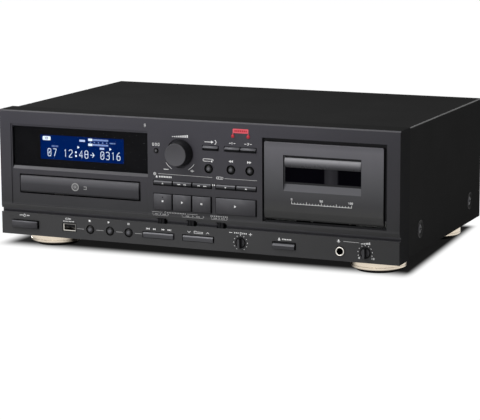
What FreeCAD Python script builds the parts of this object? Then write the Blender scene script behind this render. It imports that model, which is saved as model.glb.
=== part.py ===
import FreeCAD, Part
import math
import operator
import os
from types import SimpleNamespace

import Sketcher
from FreeCAD import Rotation, Vector

os.makedirs("parts", exist_ok=True)

doc = FreeCAD.newDocument("cd_cassette_deck")

# Driving dimensions in millimetres.
# Widths run along X from the deck's middle, depths along Y from the panel's front plane
# and heights along Z from the panel's lower edge.
DIMENSIONS = {
    # Whole deck
    "deck_width": 435.0,
    "panel_height": 129.5,
    "foot_height": 15.5,
    "panel_depth": 28.0,
    "case_depth": 272.0,
    "knob_reach": 11.5,
    "jack_reach": 9.0,
    # Case
    "panel_wall": 3.0,
    "panel_skin": 2.2,
    "cover_inset": 1.8,
    "cover_drop": 1.0,
    "cover_sheet": 1.0,
    "cover_lip": 11.0,
    "chassis_sheet": 1.2,
    "chassis_side": 32.0,
    "chassis_front": 20.0,
    "dimple_depth": 1.5,
    "dimple_radius": 9.0,
    "screw_front": 68.7,
    "screw_rear": 235.0,
    "screw_height": 23.5,
    "screw_head": 4.6,
    "screw_shank": 1.6,
    # Feet
    "foot_radius": 27.8,
    "foot_band": 11.2,
    "foot_pad": 24.0,
    "foot_spread": 179.0,
    "foot_front": 49.0,
    "foot_rear": 227.8,
    # Left section with the display and the disc tray
    "section_left": -204.5,
    "section_right": -48.0,
    "section_low": 32.0,
    "section_high": 115.5,
    "section_depth": 0.8,
    "window_margin": 1.5,
    "window_low": 72.0,
    "window_high": 113.5,
    "window_depth": 2.5,
    "window_bevel": 3.0,
    "window_thick": 2.0,
    "lcd_middle": -125.2,
    "lcd_height": 92.4,
    "lcd_wide": 95.5,
    "lcd_tall": 25.0,
    "tray_middle": -126.2,
    "tray_opening_wide": 138.3,
    "tray_opening_low": 43.8,
    "tray_opening_high": 63.8,
    "fascia_gap": 1.5,
    "fascia_crown": 0.7,
    # Disc mechanism
    "tray_wide": 132.0,
    "tray_floor": 49.0,
    "tray_thick": 8.0,
    "tray_long": 185.0,
    "tray_travel": 140.0,
    "disc_well": 61.0,
    "small_disc_well": 41.0,
    "disc_depth": 75.0,
    "loader_floor": 33.0,
    "loader_wall": 2.0,
    "loader_front": 12.0,
    "loader_long": 203.0,
    "gear_module": 1.5,
    "gear_teeth": 14.0,
    "pinion_across": -45.0,
    "pinion_depth": 40.0,
    "rail_radius": 1.5,
    "rail_spread": 22.0,
    "sled_travel": 33.0,
    # Tape mechanism
    "door_middle": 139.9,
    "door_wide": 122.7,
    "door_low": 36.3,
    "door_high": 112.7,
    "door_proud": 1.5,
    "door_thick": 5.0,
    "door_curl": 7.0,
    "door_recess_gap": 2.75,
    "door_recess_low": 33.1,
    "door_recess_high": 116.0,
    "door_recess_depth": 4.0,
    "hinge_depth": 6.5,
    "hinge_height": 40.0,
    "hinge_pin": 1.5,
    "window_frame_left": 98.5,
    "window_frame_right": 178.7,
    "window_frame_low": 65.2,
    "window_frame_high": 100.3,
    "cassette_wide": 100.4,
    "cassette_low": 46.5,
    "hub_height": 81.0,
    "hub_spacing": 42.5,
    "deck_plate_depth": 21.0,
    "deck_plate_sheet": 1.5,
    "capstan_across": 32.0,
    "capstan_height": 52.5,
    "capstan_radius": 1.0,
    "flywheel_radius": 23.0,
    "pinch_radius": 6.5,
    "tape_motor_across": -30.0,
    "tape_motor_radius": 14.0,
    "head_travel": 5.0,
    # Boards behind the panel
    "board_depth": 14.0,
    "board_thick": 1.6,
    "switch_size": 6.0,
    "switch_high": 4.3,
    "key_travel": 0.6,
    "running": 0.05,
    "clearance": 0.1,
    # Key field in the middle of the panel
    "field_left": -42.3,
    "field_left_wide": 64.2,
    "field_right": 25.8,
    "field_right_wide": 44.2,
    "key_side": 1.0,
    "key_gap": 1.7,
    "slim_low": 61.5,
    "slim_high": 67.0,
    "slim_proud": 1.2,
    "big_low": 37.0,
    "big_high": 53.8,
    "big_proud": 1.6,
    "key_rim": 0.5,
    "source_left": 11.8,
    "source_wide": 17.7,
    "record_left": 35.3,
    "record_wide": 34.6,
    "source_low": 99.8,
    "source_high": 105.2,
    "source_proud": 1.7,
    # Groove with the slide switches
    "groove_low": 23.0,
    "groove_high": 27.0,
    "groove_bevel": 31.0,
    "groove_deep": 3.8,
    "slide_low": 22.8,
    "slide_high": 28.3,
    "slide_knob": 5.4,
    "slide_throw": 2.2,
    # Round controls
    "level_across": -12.5,
    "level_height": 95.3,
    "level_recess": 14.65,
    "level_recess_depth": 2.0,
    "level_base": 13.2,
    "level_front": 11.3,
    "shaft_radius": 3.0,
    "small_button": 3.25,
    "small_ring": 4.7,
    "strip_button": 3.7,
    "strip_ring": 4.7,
    "dial_hole": 5.6,
    "dial_radius": 5.25,
    "dial_reach": 6.0,
    "dial_grip": 2.2,
    "strip_dial_height": 9.9,
    # Lower strip
    "power_left": -205.0,
    "power_wide": 31.4,
    "power_low": 6.8,
    "power_high": 15.6,
    "power_proud": 3.0,
    "power_travel": 3.0,
    "usb_across": -138.2,
    "usb_height": 11.5,
    "usb_opening_wide": 16.0,
    "usb_opening_tall": 9.0,
    "usb_wide": 13.4,
    "usb_tall": 6.6,
    "eject_left": 86.3,
    "eject_wide": 24.8,
    "eject_low": 6.8,
    "eject_high": 14.3,
    "eject_proud": 3.0,
    "eject_travel": 1.5,
    "rocker_low": 7.2,
    "rocker_high": 13.8,
    "skip_left": -55.0,
    "skip_wide": 35.4,
    "folder_left": -10.8,
    "folder_wide": 34.8,
    "rocker_proud": 1.5,
    "rocker_pin": 0.9,
    "mic_across": 157.0,
    "mic_height": 9.6,
    "mic_ring": 4.95,
    "mic_bore": 3.2,
    # Rear connections
    "inlet_across": 178.0,
    "inlet_height": 28.0,
    "inlet_wide": 15.0,
    "inlet_tall": 8.2,
    "inlet_pin": 1.2,
    "inlet_pin_spacing": 8.6,
    "jacks_across": -62.0,
    "jacks_height": 25.0,
    "jacks_spacing_wide": 16.0,
    "jacks_spacing_tall": 14.0,
    "jack_sleeve": 4.15,
    "main_board_height": 8.0,
}

sheet = doc.addObject("Spreadsheet::Sheet", "Dims")
for row, (alias, number) in enumerate(DIMENSIONS.items(), start=1):
    sheet.set("A%d" % row, alias)
    sheet.set("B%d" % row, str(number))
    sheet.setAlias("B%d" % row, alias)
doc.recompute()


class Size:
    """A number that remembers the sheet formula it comes from."""

    def __init__(self, value, formula):
        self.value = float(value)
        self.formula = formula

    def __add__(self, other):
        return combine(self, "+", other)

    def __radd__(self, other):
        return combine(other, "+", self)

    def __sub__(self, other):
        return combine(self, "-", other)

    def __rsub__(self, other):
        return combine(other, "-", self)

    def __mul__(self, other):
        return combine(self, "*", other)

    def __rmul__(self, other):
        return combine(other, "*", self)

    def __truediv__(self, other):
        return combine(self, "/", other)

    def __neg__(self):
        return combine(0, "-", self)


SIGNS = {"+": operator.add, "-": operator.sub, "*": operator.mul, "/": operator.truediv}


def sized(number):
    """A Size from a Size or from a plain number."""
    if isinstance(number, Size):
        return number
    return Size(number, "(%r)" % float(number))


def combine(left, sign, right):
    """The sum, difference, product or quotient of two sizes."""
    left = sized(left)
    right = sized(right)
    formula = "(%s %s %s)" % (left.formula, sign, right.formula)
    return Size(SIGNS[sign](left.value, right.value), formula)


d = SimpleNamespace(**{
    alias: Size(sheet.get(alias), "Dims." + alias) for alias in DIMENSIONS
})


def bind(thing, place, number):
    """Tie one number of an object to the sheet."""
    thing.setExpression(place, sized(number).formula)


# Drawings

PLANES = {"front": "XZ_Plane", "plan": "XY_Plane", "side": "YZ_Plane"}
FAR_SIGN = {"front": -1, "plan": 1, "side": 1}
AXES = {"across": "H_Axis", "up": "V_Axis"}


class Drawing:
    """A sketch parallel to one of a body's planes, with every point fixed from the sheet.

    A front drawing is drawn in X and Z, a plan in X and Y and a side in Y and Z.
    Its level is its place along the third axis.
    """

    def __init__(self, body, view, level, across=0, up=0):
        self.body = body
        self.view = view
        self.sketch = body.newObject("Sketcher::SketchObject", body.Label + "_sketch")
        role = PLANES[view]
        plane = [item for item in body.Origin.OriginFeatures if item.Role == role][0]
        self.sketch.AttachmentSupport = [(plane, "")]
        self.sketch.MapMode = "FlatFace"
        bind(self.sketch, "AttachmentOffset.Base.x", across)
        bind(self.sketch, "AttachmentOffset.Base.y", up)
        bind(self.sketch, "AttachmentOffset.Base.z", FAR_SIGN[view] * sized(level))

    def constrain(self, rules):
        """Add geometric rules and dimensions, the latter tied to the sheet."""
        first = self.sketch.ConstraintCount
        self.sketch.addConstraint([rule for rule, number in rules])
        for index, (rule, number) in enumerate(rules, start=first):
            if number is not None:
                bind(self.sketch, "Constraints[%d]" % index, number)

    def place(self, geometry, end, across, up):
        """The two dimensions that hold a point at its place."""
        across = sized(across)
        up = sized(up)
        return [
            (Sketcher.Constraint("DistanceX", -1, 1, geometry, end, across.value), across),
            (Sketcher.Constraint("DistanceY", -1, 1, geometry, end, up.value), up),
        ]

    def outline(self, points, arcs=None):
        """A closed outline; arcs gives a signed radius to the stretch after a point.

        A positive radius bulges to the right of the way drawn, a negative one to the left.
        """
        arcs = arcs or {}
        points = [(sized(across), sized(up)) for across, up in points]
        count = len(points)
        first = self.sketch.GeometryCount
        rules = []
        shapes = []
        ends = []
        for index, start in enumerate(points):
            end = points[(index + 1) % count]
            here = Vector(start[0].value, start[1].value, 0)
            there = Vector(end[0].value, end[1].value, 0)
            if index not in arcs:
                shapes.append(Part.LineSegment(here, there))
                ends.append((1, 2))
                continue
            radius = sized(arcs[index])
            chord = there - here
            right = Vector(chord.y, -chord.x, 0).normalize()
            reach = math.sqrt(radius.value ** 2 - (chord.Length / 2) ** 2)
            side = math.copysign(1, radius.value)
            middle = (here + there) / 2 - right * side * reach
            begin, finish = (here, there) if side > 0 else (there, here)
            angles = [
                math.atan2(point.y - middle.y, point.x - middle.x) for point in (begin, finish)
            ]
            circle = Part.Circle(middle, Vector(0, 0, 1), abs(radius.value))
            shapes.append(Part.ArcOfCircle(circle, angles[0], angles[1]))
            ends.append((1, 2) if side > 0 else (2, 1))
            rules.append((
                Sketcher.Constraint("Radius", first + index, abs(radius.value)),
                radius * side,
            ))
        self.sketch.addGeometry(shapes, False)
        for index, (across, up) in enumerate(points):
            rules += self.place(first + index, ends[index][0], across, up)
            before = (index - 1) % count
            rules.append((
                Sketcher.Constraint(
                    "Coincident", first + before, ends[before][1], first + index, ends[index][0]
                ),
                None,
            ))
        self.constrain(rules)
        return self

    def rectangle(self, left, right, low, high):
        """An upright rectangle."""
        return self.outline([(left, low), (right, low), (right, high), (left, high)])

    def rounded(self, left, right, low, high, radius):
        """An upright rectangle with rounded corners."""
        points = [
            (left + radius, low), (right - radius, low),
            (right, low + radius), (right, high - radius),
            (right - radius, high), (left + radius, high),
            (left, high - radius), (left, low + radius),
        ]
        return self.outline(points, {1: radius, 3: radius, 5: radius, 7: radius})

    def circle(self, across, up, radius):
        """A circle."""
        across = sized(across)
        up = sized(up)
        radius = sized(radius)
        index = self.sketch.GeometryCount
        centre = Vector(across.value, up.value, 0)
        self.sketch.addGeometry(Part.Circle(centre, Vector(0, 0, 1), radius.value), False)
        rules = [(Sketcher.Constraint("Radius", index, radius.value), radius)]
        self.constrain(rules + self.place(index, 3, across, up))
        return self


# Features of a body


def new_body(label):
    """A body in the panel's frame."""
    body = doc.addObject("PartDesign::Body", label)
    body.Label = label
    return body


def pad(drawing, length, backwards=False):
    """Add a drawing's area, towards the plus side of its third axis unless backwards."""
    feature = drawing.body.newObject("PartDesign::Pad", drawing.body.Label + "_pad")
    feature.Profile = drawing.sketch
    feature.Reversed = (drawing.view == "front") != backwards
    bind(feature, "Length", length)
    return feature


def pocket(drawing, length, backwards=False):
    """Cut a drawing's area, towards the plus side of its third axis unless backwards."""
    feature = drawing.body.newObject("PartDesign::Pocket", drawing.body.Label + "_pocket")
    feature.Profile = drawing.sketch
    feature.Reversed = (drawing.view != "front") != backwards
    bind(feature, "Length", length)
    return feature


def turn(kind, drawing, axis):
    """Revolve a drawing about one of its own axes, as a Revolution or a Groove."""
    feature = drawing.body.newObject("PartDesign::" + kind, drawing.body.Label + "_turn")
    feature.Profile = drawing.sketch
    feature.ReferenceAxis = (drawing.sketch, [AXES[axis]])
    feature.Angle = 360
    return feature


def edges_where(shape, test):
    """Names of the edges whose ends and middle all pass a test."""
    names = []
    for index, edge in enumerate(shape.Edges, start=1):
        points = [vertex.Point for vertex in edge.Vertexes]
        points.append(edge.valueAt((edge.FirstParameter + edge.LastParameter) / 2))
        if all(test(point) for point in points):
            names.append("Edge%d" % index)
    return names


def dress(kind, body, size, test):
    """Fillet or chamfer the edges of a body's last feature that pass a test."""
    doc.recompute()
    base = body.Tip
    shape = base.Shape
    names = edges_where(shape, test)
    feature = body.newObject("PartDesign::" + kind, body.Label + "_" + kind.lower())
    feature.Base = (base, names)
    bind(feature, {"Fillet": "Radius", "Chamfer": "Size"}[kind], size)
    return feature


# Solids from primitives


def block(left, right, front, back, low, high):
    """A box between two corners."""
    box = doc.addObject("Part::Box", "block")
    for place, number in (
        ("Length", right - left), ("Width", back - front), ("Height", high - low),
        ("Placement.Base.x", left), ("Placement.Base.y", front), ("Placement.Base.z", low),
    ):
        bind(box, place, number)
    return box


TURNS = {
    "x": Rotation(Vector(0, 1, 0), 90),
    "y": Rotation(Vector(1, 0, 0), -90),
    "z": Rotation(),
}


def stand(solid, axis, across, depth, height):
    """Put a round solid's base at a point, with its axis along X, Y or Z."""
    solid.Placement.Rotation = TURNS[axis]
    bind(solid, "Placement.Base.x", across)
    bind(solid, "Placement.Base.y", depth)
    bind(solid, "Placement.Base.z", height)
    return solid


def rod(axis, across, depth, height, radius, length):
    """A cylinder from a point towards the plus side of an axis."""
    cylinder = doc.addObject("Part::Cylinder", "rod")
    bind(cylinder, "Radius", radius)
    bind(cylinder, "Height", length)
    return stand(cylinder, axis, across, depth, height)


def cone(axis, across, depth, height, base, top, length):
    """A cone from a point towards the plus side of an axis."""
    solid = doc.addObject("Part::Cone", "cone")
    bind(solid, "Radius1", base)
    bind(solid, "Radius2", top)
    bind(solid, "Height", length)
    return stand(solid, axis, across, depth, height)


def fuse(*parts):
    """One solid from parts that touch or overlap."""
    whole = doc.addObject("Part::MultiFuse", "fuse")
    whole.Shapes = list(parts)
    return whole


def cut(base, *tools):
    """A solid less one or more others."""
    rest = doc.addObject("Part::Cut", "cut")
    rest.Base = base
    rest.Tool = tools[0] if len(tools) == 1 else fuse(*tools)
    return rest


def group(*solids):
    """Separate solids that belong to one piece."""
    whole = doc.addObject("Part::Compound", "group")
    whole.Links = list(solids)
    return whole


PIECES = []
# The row's origin is under the middle of the deck, on the surface that the feet stand on.
rear_reach = d.case_depth + d.jack_reach
panel_plane = -(rear_reach - d.knob_reach) / 2


def piece(label, thing):
    """Register a finished sub-part and move it from the panel's frame to the deck's."""
    thing.Label = label
    bind(thing, "Placement.Base.y", panel_plane)
    bind(thing, "Placement.Base.z", d.foot_height)
    PIECES.append(thing)


half = d.deck_width / 2
window_left = d.section_left + d.window_margin
window_right = d.section_right - d.window_margin / 3
tray_opening_left = d.tray_middle - d.tray_opening_wide / 2
tray_opening_right = d.tray_middle + d.tray_opening_wide / 2
cover_outside = half - d.cover_inset
cover_inside = cover_outside - d.cover_sheet
cover_top = d.panel_height - d.cover_drop
cover_under = cover_top - d.cover_sheet
chassis_outside = cover_inside - d.dimple_depth
rear_plane = d.case_depth - d.cover_sheet
rear_front = rear_plane - d.chassis_sheet
through = d.panel_depth / 2

THIN_BACKING = 1.5
THICK_BACKING = 3.5

# Where the boards and the tape mechanism are screwed to the panel
BOARD_BOSSES = [(-158, 12), (38, 17), (125, 12), (209, 12), (-40, 120), (68, 110)]
TAPE_BOSSES = [
    (d.door_middle + side * 61, height) for side in (-1, 1) for height in (28.5, 119)
]

# Openings of the key field: left edge, width, lower edge, upper edge
KEY_FIELDS = [
    (left, wide, low, high)
    for left, wide in ((d.field_left, d.field_left_wide), (d.field_right, d.field_right_wide))
    for low, high in ((d.slim_low, d.slim_high), (d.big_low, d.big_high))
] + [
    (d.source_left, d.source_wide, d.source_low, d.source_high),
    (d.record_left, d.record_wide, d.source_low, d.source_high),
    (d.power_left, d.power_wide, d.power_low, d.power_high),
    (d.eject_left, d.eject_wide, d.eject_low, d.eject_high),
    (d.skip_left, d.skip_wide, d.rocker_low, d.rocker_high),
    (d.folder_left, d.folder_wide, d.rocker_low, d.rocker_high),
]

# Round buttons: label, place across, height, radius, ring
ROUND_BUTTONS = [
    ("repeat_button", 18.6, 81.7, d.small_button, d.small_ring),
    ("rewind_button", 42.5, 82.0, d.small_button, d.small_ring),
    ("fast_forward_button", 62.6, 82.0, d.small_button, d.small_ring),
    ("usb_stop_button", -114.3, 10.9, d.strip_button, d.strip_ring),
    ("usb_play_button", -91.8, 10.9, d.strip_button, d.strip_ring),
    ("usb_pause_button", -70.7, 10.9, d.strip_button, d.strip_ring),
]
RESET_BUTTON = (-38.6, 96.6)
RESET_RADIUS = 2.0
RECORD_LAMPS = [(44.9, 115.7), (61.2, 115.7)]
LAMP_HALF = 1.4

# Slide switches: label and place across
SLIDE_SWITCHES = [
    ("input_slide_switch", -33.7),
    ("tape_slide_switch", -1.2),
    ("speed_slide_switch", 30.9),
]
DIALS = [("pitch_knob", 52.4), ("mic_level_knob", 182.7)]
DIAL_SHAFT = 2.0
ROCKERS = [
    ("skip_rocker", d.skip_left, d.skip_wide),
    ("folder_rocker", d.folder_left, d.folder_wide),
]
LUG_WIDE = 2.5
LUG_DEEP = 4.5


def front_panel():
    """The moulded front: an open-backed tray with every opening, recess and boss."""
    body = new_body("front_panel")
    skin = d.panel_skin
    wall = d.panel_wall
    pad(Drawing(body, "front", 0).rectangle(-half, half, 0, d.panel_height), d.panel_depth)
    hollow = Drawing(body, "front", wall)
    hollow.rectangle(skin - half, half - skin, skin, d.panel_height - skin)
    pocket(hollow, d.panel_depth - wall)
    high = d.panel_height.value
    wide = half.value
    dress("Chamfer", body, 1.3, lambda p: abs(p.y) < 0.01 and abs(p.z - high) < 0.01)
    dress("Fillet", body, 0.6, lambda p: abs(p.y) < 0.01 and abs(abs(p.x) - wide) < 0.01)

    frame = Drawing(body, "front", wall)
    frame.rectangle(window_left - 4, window_right + 3, d.window_low - 6, d.window_high + 5)
    frame.circle(d.level_across, d.level_height, d.level_recess + 2.5)
    pad(frame, THIN_BACKING)
    rib = Drawing(body, "front", wall)
    rib.rectangle(skin - half, half - skin, d.groove_low - 3.5, d.groove_bevel)
    pad(rib, THICK_BACKING)
    surround = Drawing(body, "front", wall)
    reach = d.door_wide / 2 + d.door_recess_gap
    surround.rectangle(
        d.door_middle - reach - 2.5, d.door_middle + reach + 2.5,
        d.groove_bevel - 1, d.door_recess_high + 2,
    )
    pad(surround, THICK_BACKING)
    for places, reach, back in (
        (BOARD_BOSSES, 2.5, d.board_depth), (TAPE_BOSSES, 3.2, d.deck_plate_depth),
    ):
        bosses = Drawing(body, "front", wall)
        for across, height in places:
            bosses.rectangle(across - reach, across + reach, height - reach, height + reach)
        pad(bosses, back - wall)
    lugs = Drawing(body, "front", wall)
    for label, left, wide_opening in ROCKERS:
        middle = left + wide_opening / 2
        for low, top in (
            (d.rocker_low - 4, d.rocker_low - 0.6), (d.rocker_high + 0.6, d.rocker_high + 4),
        ):
            lugs.rectangle(middle - LUG_WIDE, middle + LUG_WIDE, low, top)
    pad(lugs, LUG_DEEP)

    section = Drawing(body, "front", 0)
    section.rectangle(d.section_left, d.section_right, d.section_low, d.section_high)
    pocket(section, d.section_depth)
    window = Drawing(body, "front", 0)
    window.rectangle(window_left, window_right, d.window_low, d.window_high)
    window.rectangle(
        tray_opening_left, tray_opening_right, d.tray_opening_low, d.tray_opening_high
    )
    pocket(window, through)
    bevel = Drawing(body, "side", window_left)
    bevel.outline([
        (0, d.window_low - d.window_bevel), (d.section_depth, d.window_low - d.window_bevel),
        (d.window_depth, d.window_low), (d.window_depth, d.window_low + 1),
        (0, d.window_low + 1),
    ])
    pocket(bevel, window_right - window_left)

    groove = Drawing(body, "side", -half - 1)
    groove.outline([
        (-1, d.groove_low), (d.groove_deep, d.groove_low), (d.groove_deep, d.groove_high),
        (d.groove_deep / 3, d.groove_high), (0, d.groove_bevel), (-1, d.groove_bevel),
    ])
    pocket(groove, d.deck_width + 2)

    keys = Drawing(body, "front", 0)
    for left, wide_opening, low, top in KEY_FIELDS:
        keys.rectangle(left, left + wide_opening, low, top)
    keys.rectangle(
        d.usb_across - d.usb_opening_wide / 2, d.usb_across + d.usb_opening_wide / 2,
        d.usb_height - d.usb_opening_tall / 2, d.usb_height + d.usb_opening_tall / 2,
    )
    for label, across in SLIDE_SWITCHES:
        reach = d.slide_knob / 2 + d.slide_throw + 0.2
        keys.rectangle(across - reach, across + reach, d.slide_low, d.slide_high)
    pocket(keys, through)

    knob = Drawing(body, "front", 0).circle(d.level_across, d.level_height, d.level_recess)
    pocket(knob, d.level_recess_depth)
    holes = Drawing(body, "front", 0)
    for label, across, height, radius, ring in ROUND_BUTTONS:
        holes.circle(across, height, ring)
    holes.circle(RESET_BUTTON[0], RESET_BUTTON[1], RESET_RADIUS + 0.7)
    holes.circle(d.level_across, d.level_height, d.shaft_radius + 0.5)
    reach = LAMP_HALF + d.clearance
    for across, height in RECORD_LAMPS:
        holes.rectangle(across - reach, across + reach, height - reach, height + reach)
    for label, across in DIALS:
        holes.circle(across, d.strip_dial_height, d.dial_hole)
    holes.circle(d.mic_across, d.mic_height, d.mic_ring + d.clearance)
    pocket(holes, through)

    moat = Drawing(body, "front", 0)
    reach = d.door_wide / 2 + d.door_recess_gap
    moat.rectangle(
        d.door_middle - reach, d.door_middle + reach, d.door_recess_low, d.door_recess_high
    )
    pocket(moat, d.door_recess_depth)
    mouth = Drawing(body, "front", 0)
    wide_reach = d.door_wide / 2 + 1.2
    reach = d.cassette_wide / 2 + 7.3
    low = d.door_recess_low + 1.2
    shoulder = d.hinge_height + 1.5
    mouth.outline([
        (d.door_middle - wide_reach, low), (d.door_middle + wide_reach, low),
        (d.door_middle + wide_reach, shoulder), (d.door_middle + reach, shoulder),
        (d.door_middle + reach, d.door_high - 2.2), (d.door_middle - reach, d.door_high - 2.2),
        (d.door_middle - reach, shoulder), (d.door_middle - wide_reach, shoulder),
    ])
    pocket(mouth, through)
    pins = Drawing(body, "plan", d.panel_skin)
    reach = d.rocker_pin + d.running
    for label, left, wide_opening in ROCKERS:
        middle = left + wide_opening / 2
        pins.rectangle(middle - reach, middle + reach, wall + 2 - reach, wall + 2 + reach)
    pocket(pins, d.rocker_high + 3 - d.panel_skin)
    piece("front_panel", body)


def display_window():
    """The smoked window, stepped so that its rim sits behind the panel."""
    body = new_body("display_window")
    front = Drawing(body, "front", d.window_depth)
    gap = d.clearance
    front.rectangle(window_left + gap, window_right - gap, d.window_low + gap, d.window_high - gap)
    pad(front, d.window_thick + 1)
    rim = Drawing(body, "front", d.window_depth + d.window_thick)
    rim.rectangle(window_left - 2, window_right + 2, d.window_low - 2, d.window_high + 2)
    pad(rim, 1)
    piece("display_window", body)


def display_module():
    """The liquid crystal panel in its frame, on its own small board."""
    back = d.window_depth + d.window_thick + 1
    left = d.lcd_middle - d.lcd_wide / 2
    right = d.lcd_middle + d.lcd_wide / 2
    low = d.lcd_height - d.lcd_tall / 2
    top = d.lcd_height + d.lcd_tall / 2
    frame = cut(
        block(left - 6, right + 6, back, back + 6, low - 5, top + 5),
        block(left, right, back - 1, back + 3, low, top),
    )
    glass = block(left, right, back + 0.5, back + 3, low, top)
    board = block(window_left + 4, window_right - 4, back + 6, back + 7.6, low - 7, top + 8)
    piece("display_module", group(frame, glass, board))


# The case


def top_cover():
    """The folded sheet cover: a top, two sides with screw dimples and a rear lip."""
    body = new_body("top_cover")
    shell = Drawing(body, "front", d.panel_depth)
    shell.outline([
        (-cover_outside, d.cover_drop), (-cover_inside, d.cover_drop),
        (-cover_inside, cover_under), (cover_inside, cover_under),
        (cover_inside, d.cover_drop), (cover_outside, d.cover_drop),
        (cover_outside, cover_top), (-cover_outside, cover_top),
    ])
    pad(shell, d.case_depth - d.panel_depth)
    lip = Drawing(body, "front", rear_plane)
    lip.rectangle(-cover_inside, cover_inside, cover_top - d.cover_lip, cover_top - 0.5)
    pad(lip, d.cover_sheet)
    wide = cover_outside.value
    top = cover_top.value
    dress(
        "Fillet", body, d.cover_sheet * 1.5,
        lambda p: abs(abs(p.x) - wide) < 0.01 and abs(p.z - top) < 0.01,
    )
    floor = cover_outside - d.dimple_depth
    for side in (-1, 1):
        for depth in (d.screw_front, d.screw_rear):
            punch = Drawing(body, "plan", d.screw_height, up=depth)
            punch.outline([
                (side * cover_inside, 0), (side * cover_inside, d.dimple_radius - 0.5),
                (side * (floor - d.cover_sheet), d.dimple_radius - 0.5),
                (side * (floor - d.cover_sheet), 0),
            ])
            turn("Revolution", punch, "across")
            dish = Drawing(body, "plan", d.screw_height, up=depth)
            dish.outline([
                (side * cover_outside, 0), (side * cover_outside, d.dimple_radius),
                (side * floor, d.dimple_radius - 2.5), (side * floor, 0),
            ])
            turn("Groove", dish, "across")
    holes = Drawing(body, "side", -half)
    for depth in (d.screw_front, d.screw_rear):
        holes.circle(depth, d.screw_height, d.screw_shank + d.clearance)
    pocket(holes, d.deck_width)
    piece("top_cover", body)


STANDOFFS = [(-35, 125), (50, 125), (130, 125), (-35, 252), (50, 252), (130, 252)]


def base_chassis():
    """The folded steel tray that everything stands on."""
    body = new_body("base_chassis")
    skin = d.chassis_sheet
    inner = chassis_outside - skin
    tray = Drawing(body, "front", d.panel_depth)
    tray.outline([
        (-chassis_outside, 0), (chassis_outside, 0), (chassis_outside, d.chassis_side),
        (inner, d.chassis_side), (inner, skin), (-inner, skin),
        (-inner, d.chassis_side), (-chassis_outside, d.chassis_side),
    ])
    pad(tray, rear_front - d.panel_depth)
    front = Drawing(body, "front", d.panel_depth)
    front.rectangle(-inner, inner, 0, d.chassis_front)
    pad(front, skin)
    rear = Drawing(body, "front", rear_front - skin)
    rear.rectangle(-inner, inner, 0, d.main_board_height + 1)
    pad(rear, skin)
    posts = Drawing(body, "plan", skin)
    for across, depth in STANDOFFS:
        posts.rectangle(across - 4, across + 4, depth - 2, depth + 2)
    pad(posts, d.main_board_height - skin)
    jack = Drawing(body, "front", d.panel_depth)
    jack.rectangle(d.mic_across - 9, d.mic_across + 9, skin, d.chassis_front + 1)
    pocket(jack, skin)
    holes = Drawing(body, "side", -half)
    reach = d.screw_shank + d.running
    for depth in (d.screw_front, d.screw_rear):
        holes.rectangle(
            depth - reach, depth + reach, d.screw_height - reach, d.screw_height + reach
        )
    pocket(holes, d.deck_width)
    vent = Drawing(body, "plan", 0).rectangle(-10, -6, 150, 190)
    slot = pocket(vent, skin)
    vents = body.newObject("PartDesign::LinearPattern", "base_vents")
    vents.Originals = [slot]
    vents.Direction = (vent.sketch, ["H_Axis"])
    vents.Length = 140
    vents.Occurrences = 11
    body.Tip = vents
    piece("base_chassis", body)


def rear_panel():
    """The steel back with its cut-outs for the inlet, the jacks and the air."""
    body = new_body("rear_panel")
    plate = Drawing(body, "front", rear_front)
    plate.rectangle(-cover_inside, cover_inside, 0, cover_under)
    pad(plate, d.chassis_sheet)
    holes = Drawing(body, "front", rear_front)
    wide = d.inlet_wide / 2 + 2
    tall = d.inlet_tall / 2 + 2
    holes.rectangle(
        d.inlet_across - wide, d.inlet_across + wide, d.inlet_height - tall, d.inlet_height + tall
    )
    reach = d.jacks_spacing_wide / 2 + 8 + d.clearance
    rise = d.jacks_spacing_tall / 2 + 8 + d.clearance
    holes.rectangle(
        d.jacks_across - reach, d.jacks_across + reach, d.jacks_height - rise, d.jacks_height + rise
    )
    pocket(holes, d.chassis_sheet)
    vent = Drawing(body, "front", rear_front).rectangle(60, 62.5, 70, 95)
    slot = pocket(vent, d.chassis_sheet)
    vents = body.newObject("PartDesign::LinearPattern", "rear_vents")
    vents.Originals = [slot]
    vents.Direction = (vent.sketch, ["H_Axis"])
    vents.Length = 77
    vents.Occurrences = 12
    body.Tip = vents
    piece("rear_panel", body)


def jack_places():
    """Middles of the four line jacks, as places across and heights."""
    return [
        (d.jacks_across + side * d.jacks_spacing_wide / 2,
         d.jacks_height + rise * d.jacks_spacing_tall / 2)
        for rise in (-1, 1) for side in (-1, 1)
    ]


def case_screws():
    """The four large screws in the cover's sides."""
    screws = []
    seat = cover_outside - d.dimple_depth
    head = 1.6
    shank = 5.0
    for depth in (d.screw_front, d.screw_rear):
        for start, inner in ((seat, seat - shank), (-seat - head, -seat)):
            screws.append(fuse(
                rod("x", start, depth, d.screw_height, d.screw_head, head),
                rod("x", inner, depth, d.screw_height, d.screw_shank, shank),
            ))
    piece("case_screws", group(*screws))


def feet():
    """Four round feet, each a plated band over a narrower rubber pad."""
    stand_feet = []
    for across in (-d.foot_spread, d.foot_spread):
        for depth in (d.foot_front, d.foot_rear):
            stand_feet.append(fuse(
                rod("z", across, depth, -d.foot_height, d.foot_pad, d.foot_height),
                rod("z", across, depth, -d.foot_band, d.foot_radius, d.foot_band),
            ))
    piece("feet", group(*stand_feet))


# Connections


def usb_socket():
    """The open metal shell of the port with its tongue."""
    back = d.board_depth
    front = 0.4
    lip = 0.4
    left = d.usb_across - d.usb_wide / 2
    right = d.usb_across + d.usb_wide / 2
    low = d.usb_height - d.usb_tall / 2
    top = d.usb_height + d.usb_tall / 2
    shell = cut(
        fuse(
            block(left, right, front, back, low, top),
            block(left - lip, right + lip, front, front + 0.8, low - lip, top + lip),
        ),
        block(left + lip, right - lip, front - 1, back - 1, low + lip, top - lip),
    )
    tongue = block(
        left + 1.2, right - 1.2, front + 1.2, back - 1, d.usb_height + 0.2, d.usb_height + 2.1
    )
    piece("usb_socket", group(shell, tongue))


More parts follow.
